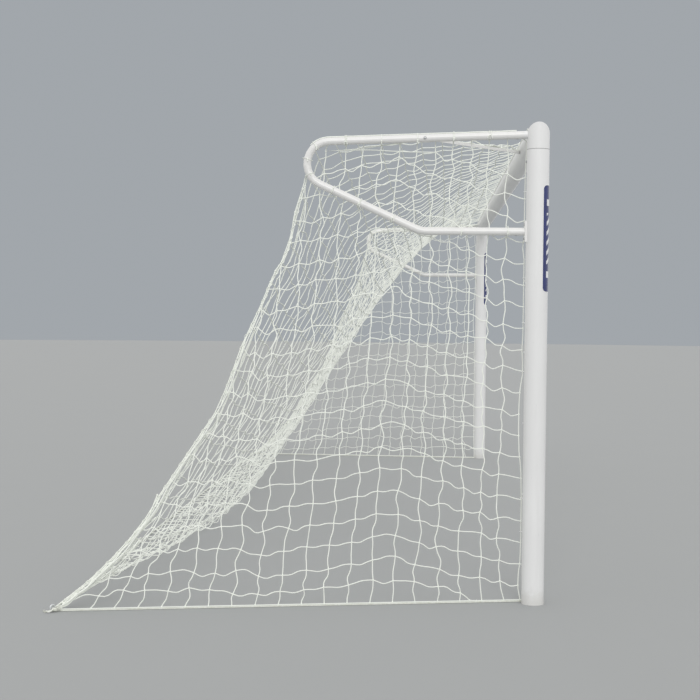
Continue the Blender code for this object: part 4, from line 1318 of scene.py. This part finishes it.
class GOAL_OT_stage(bpy.types.Operator):
    """Adds the camera at the photograph's angle, the pale floor and the soft light"""
    bl_idname = "goal.stage"
    bl_label = "Studio"

    def execute(self, context):
        stage = context.scene.goal_stage
        camera_data = bpy.data.cameras.new("photo_camera")
        camera_data.sensor_width = 36.0
        camera_data.lens = stage.lens
        camera_data.clip_end = SIGHT
        level = math.cos(CAMERA_PITCH)
        ahead = Vector((level * math.cos(CAMERA_YAW), level * math.sin(CAMERA_YAW), math.sin(CAMERA_PITCH)))
        right = ahead.cross(Vector((0, 0, 1))).normalized()
        rolled = Matrix.Rotation(CAMERA_ROLL, 3, -ahead)
        axes = Matrix((rolled @ right, rolled @ right.cross(ahead), -ahead)).transposed()
        camera = in_scene("photo_camera", camera_data)
        camera.matrix_world = Matrix.Translation(CAMERA_PLACE) @ axes.to_4x4()
        context.scene.camera = camera

        clear_selection()
        bpy.ops.mesh.primitive_circle_add(
            vertices=96, radius=FLOOR_RADIUS, fill_type="NGON", location=(0, 0, 0))
        floor = context.view_layer.objects.active
        floor.name = "studio_floor"
        floor.data.materials.append(floor_finish(stage.floor))

        world = context.scene.world or bpy.data.worlds.new("studio")
        context.scene.world = world
        world.use_nodes = True
        nodes = world.node_tree.nodes
        nodes.clear()
        light = nodes.new("ShaderNodeBackground")
        light.inputs["Color"].default_value = (1.0, 1.0, 1.0, 1.0)
        light.inputs["Strength"].default_value = stage.fill
        seen = nodes.new("ShaderNodeBackground")
        seen.inputs["Color"].default_value = (*stage.backdrop, 1.0)
        path = nodes.new("ShaderNodeLightPath")
        mix = nodes.new("ShaderNodeMixShader")
        output = nodes.new("ShaderNodeOutputWorld")
        for source, target in (
                (path.outputs["Is Camera Ray"], mix.inputs[0]), (light.outputs[0], mix.inputs[1]),
                (seen.outputs[0], mix.inputs[2]), (mix.outputs[0], output.inputs[0])):
            world.node_tree.links.new(source, target)

        sun_data = bpy.data.lights.new("soft_key", "SUN")
        sun_data.energy = stage.key
        sun_data.angle = SUN_SPREAD
        in_scene("soft_key", sun_data).rotation_euler = Vector(SUN_WAY).to_track_quat("-Z", "Y").to_euler()
        context.scene.view_settings.view_transform = "Standard"
        return {"FINISHED"}


class GOAL_OT_finishes(bpy.types.Operator):
    """Makes the goal's materials and gives each piece of the frame its own"""
    bl_idname = "goal.finishes"
    bl_label = "Finishes"

    def execute(self, context):
        group = context.scene.goal_finish
        paint = {name: tuple(getattr(group, name)) for name in GoalFinishSettings.__annotations__}
        by_slot = {
            "frame_white": powder_coat("frame_powder_coat", paint["frame_white"], 0.36, seam_shaded=True),
            "support_white": powder_coat("support_powder_coat", paint["support_white"], 0.33),
            "socket_alloy": plated("mill_aluminium", paint["alloy"], 0.42, (1, 1, 0.1)),
            "foot_plastic": moulded("moulded_plastic", paint["plastic"]),
            "zinc_steel": plated("zinc_plate", paint["steel"], 0.36),
            "label_film": label_film("label_film", paint["navy"]),
            "net_twine": braided("net_twine", paint["twine"], 0.004),
            "rope": braided("rope_braid", shade(paint["twine"], 0.97), 0.006),
        }
        moulded("clip_plastic", paint["clips"])
        galvanised = plated("galvanised_pegs", shade(paint["steel"], 1.55), 0.5)
        for part in frame["record"]["subparts"]:
            node = frame["nodes"][part["node"]]
            if not node.data.materials:
                node.data.materials.append(None)
            for spot in node.material_slots:
                spot.link = "OBJECT"
                pegs = part["node"].startswith("net_peg_")
                spot.material = galvanised if pegs else by_slot[part["material_slot"]]
        return {"FINISHED"}


class GOAL_OT_roof_net(bpy.types.Operator):
    """Hangs the roof of the net from the crossbar and the supports"""
    bl_idname = "goal.roof_net"
    bl_label = "Roof net"

    def execute(self, context):
        net = context.scene.goal_net
        chance = np.random.default_rng(net.seed)
        roof = grid_net(("roof_mesh",), net.columns, net.roof_rows, roof_point, net, chance, ROOF_CALM)[0]
        finish_piece(roof, "net_twine", "net_roof")
        return {"FINISHED"}


class GOAL_OT_back_net(bpy.types.Operator):
    """Hangs the back of the net from the ridge to the ground rope"""
    bl_idname = "goal.back_net"
    bl_label = "Back net"

    def execute(self, context):
        net = context.scene.goal_net
        chance = np.random.default_rng(net.seed + 1)
        names = ["back_mesh_" + side for side in SIDES]
        for half in grid_net(names, net.columns, net.back_rows, back_point, net, chance):
            finish_piece(half, "net_twine", "net_back")
        return {"FINISHED"}


class GOAL_OT_side_nets(bpy.types.Operator):
    """Hangs a side panel behind each post"""
    bl_idname = "goal.side_nets"
    bl_label = "Side nets"

    def execute(self, context):
        net = context.scene.goal_net
        for side in SIDES:
            chance = np.random.default_rng(net.seed + 2 + SIDES[side])
            finish_piece(side_net("side_mesh_" + side, side, net, chance), "net_twine", "net_side_" + side)
        return {"FINISHED"}


class GOAL_OT_ground_rope(bpy.types.Operator):
    """Lays the ground rope round the pegs"""
    bl_idname = "goal.ground_rope"
    bl_label = "Ground rope"

    def execute(self, context):
        finish_piece(cord_mesh("rope_line", [rope_route()], ROPE_RADIUS, 10), "rope", "ground_rope")
        return {"FINISHED"}


class GOAL_OT_corners(bpy.types.Operator):
    """Draws the net in down both rear seams and ties its corners to the pegs"""
    bl_idname = "goal.corners"
    bl_label = "Gathered corners"

    def execute(self, context):
        net = context.scene.goal_net
        for side in SIDES:
            chance = np.random.default_rng(net.seed + 20 + SIDES[side])
            lines, places = corner_bundle(side, net, chance)
            finish_piece(net_piece("seam_gather_" + side, lines, places, net, chance), "net_twine")
            whipping, cords, tails, fibres = corner_tie(side, chance)
            tie = joined(
                "corner_tie_" + side, cord_mesh("tie_cords", cords, TWINE_RADIUS, 8),
                cord_mesh("tails", tails, ROPE_RADIUS, 8), cord_mesh("whipping", [whipping], TIE_RADIUS),
                cord_mesh("fray", fibres, FRAY_RADIUS, 4))
            finish_piece(tie, "rope")
        return {"FINISHED"}


class GOAL_OT_ties(bpy.types.Operator):
    """Ties the net to the support tubes"""
    bl_idname = "goal.ties"
    bl_label = "Ties"

    def execute(self, context):
        net = context.scene.goal_net
        for side in SIDES:
            chance = np.random.default_rng(net.seed + 30 + SIDES[side])
            lines = []
            places = []
            for centre, along in tie_places(side, net):
                cords, place = tube_tie(centre, along, chance.choice((1, 2, 2, 3)), chance)
                lines += cords
                places.append(place)
            cords = cord_mesh("tie_cords", lines, TIE_RADIUS)
            knots = knot_mesh("tie_knots", places, knot_shape(net.knot * TIE_KNOT_SHARE), chance)
            edge = cord_mesh("edge_cord", [smooth_line(edge_cord(side, chance), 3)], TWINE_RADIUS, 8)
            finish_piece(joined("net_ties_" + side, cords, knots, edge), "net_twine")
        return {"FINISHED"}


class GOAL_OT_clips(bpy.types.Operator):
    """Clips the net to the back of the posts and the crossbar"""
    bl_idname = "goal.clips"
    bl_label = "Net clips"

    def execute(self, context):
        net = context.scene.goal_net
        chance = np.random.default_rng(net.seed)
        front = np.array((0.0, NET_FRONT, NET_INSET)) / math.hypot(NET_FRONT, NET_INSET)
        across = np.cross(front, (1.0, 0.0, 0.0))
        ends = [at_side(side, -NET_INSET, NET_FRONT, BAR_Z + NET_INSET) for side in SIDES]
        places = [(ends[0] + (ends[1] - ends[0]) * i / net.columns, across, front)
                  for i in range(1, net.columns, 2)]
        clips = knot_mesh("bar_clips", places, clip_shape(TWINE_RADIUS + SEAT_GAP), chance, ONE_SIZE)
        finish_piece(clips, "support_white")
        finish_piece(cord_mesh("head_cord", [np.linspace(*ends, 40)], TWINE_RADIUS, 8), "net_twine")
        for side in SIDES:
            places = []
            for level in POST_CLIPS:
                height = level if side == "left" else BAR_Z - level
                back = front_edge(side, height)
                spot = on_panel(side, back, height)
                outward = tidy_way(np.array((spot[0] - SIDES[side] * HALF_SPAN, back, 0.0)))
                places.append((spot, np.cross(outward, UPWARD), outward))
            reach = math.hypot(front_edge(side, CLIP_LEVEL), NET_INSET) - POST_RADIUS
            clips = knot_mesh("post_clips_" + side, places, clip_shape(reach), chance, ONE_SIZE)
            finish_piece(clips, "support_white")
        return {"FINISHED"}


class GOAL_OT_lacing(bpy.types.Operator):
    """Laces the side panels to the back down the rear seams"""
    bl_idname = "goal.lacing"
    bl_label = "Seam lacing"

    def execute(self, context):
        for side in SIDES:
            points = []
            for share in np.linspace(0.0, LACING_FOOT, 60):
                back, height = SEAM.at(share)
                out = side_out(side, NET_INSET + SEAM_GAP / 4, back, height)
                points.append(at_side(side, out, back - SEAM_GAP / 2, height))
            finish_piece(cord_mesh("seam_lacing_" + side, [lacing_line(points)], TIE_RADIUS), "net_twine")
        return {"FINISHED"}


OPERATORS = (
    GOAL_OT_stage, GOAL_OT_finishes, GOAL_OT_roof_net, GOAL_OT_back_net, GOAL_OT_side_nets,
    GOAL_OT_ground_rope, GOAL_OT_corners, GOAL_OT_lacing, GOAL_OT_ties, GOAL_OT_clips)
SETTINGS = {"goal_net": GoalNetSettings, "goal_finish": GoalFinishSettings, "goal_stage": GoalStageSettings}


class GOAL_PT_panel(bpy.types.Panel):
    """Lists the goal's sizes, colours and pieces"""
    bl_idname = "GOAL_PT_panel"
    bl_label = "Soccer goal"
    bl_space_type = "VIEW_3D"
    bl_region_type = "UI"
    bl_category = "Goal"

    def draw(self, context):
        for name, group in SETTINGS.items():
            box = self.layout.box()
            for field in group.__annotations__:
                box.prop(getattr(context.scene, name), field)
        for operator in OPERATORS:
            self.layout.operator(operator.bl_idname)


def register():
    for group in SETTINGS.values():
        bpy.utils.register_class(group)
    for operator in OPERATORS:
        bpy.utils.register_class(operator)
    bpy.utils.register_class(GOAL_PT_panel)
    for name, group in SETTINGS.items():
        setattr(bpy.types.Scene, name, PointerProperty(type=group))


def unregister():
    for name in SETTINGS:
        delattr(bpy.types.Scene, name)
    bpy.utils.unregister_class(GOAL_PT_panel)
    for operator in reversed(OPERATORS):
        bpy.utils.unregister_class(operator)
    for group in SETTINGS.values():
        bpy.utils.unregister_class(group)


def main():
    register()
    for operator in OPERATORS:
        group, name = operator.bl_idname.split(".")
        getattr(getattr(bpy.ops, group), name)()


if __name__ == "__main__":
    main()
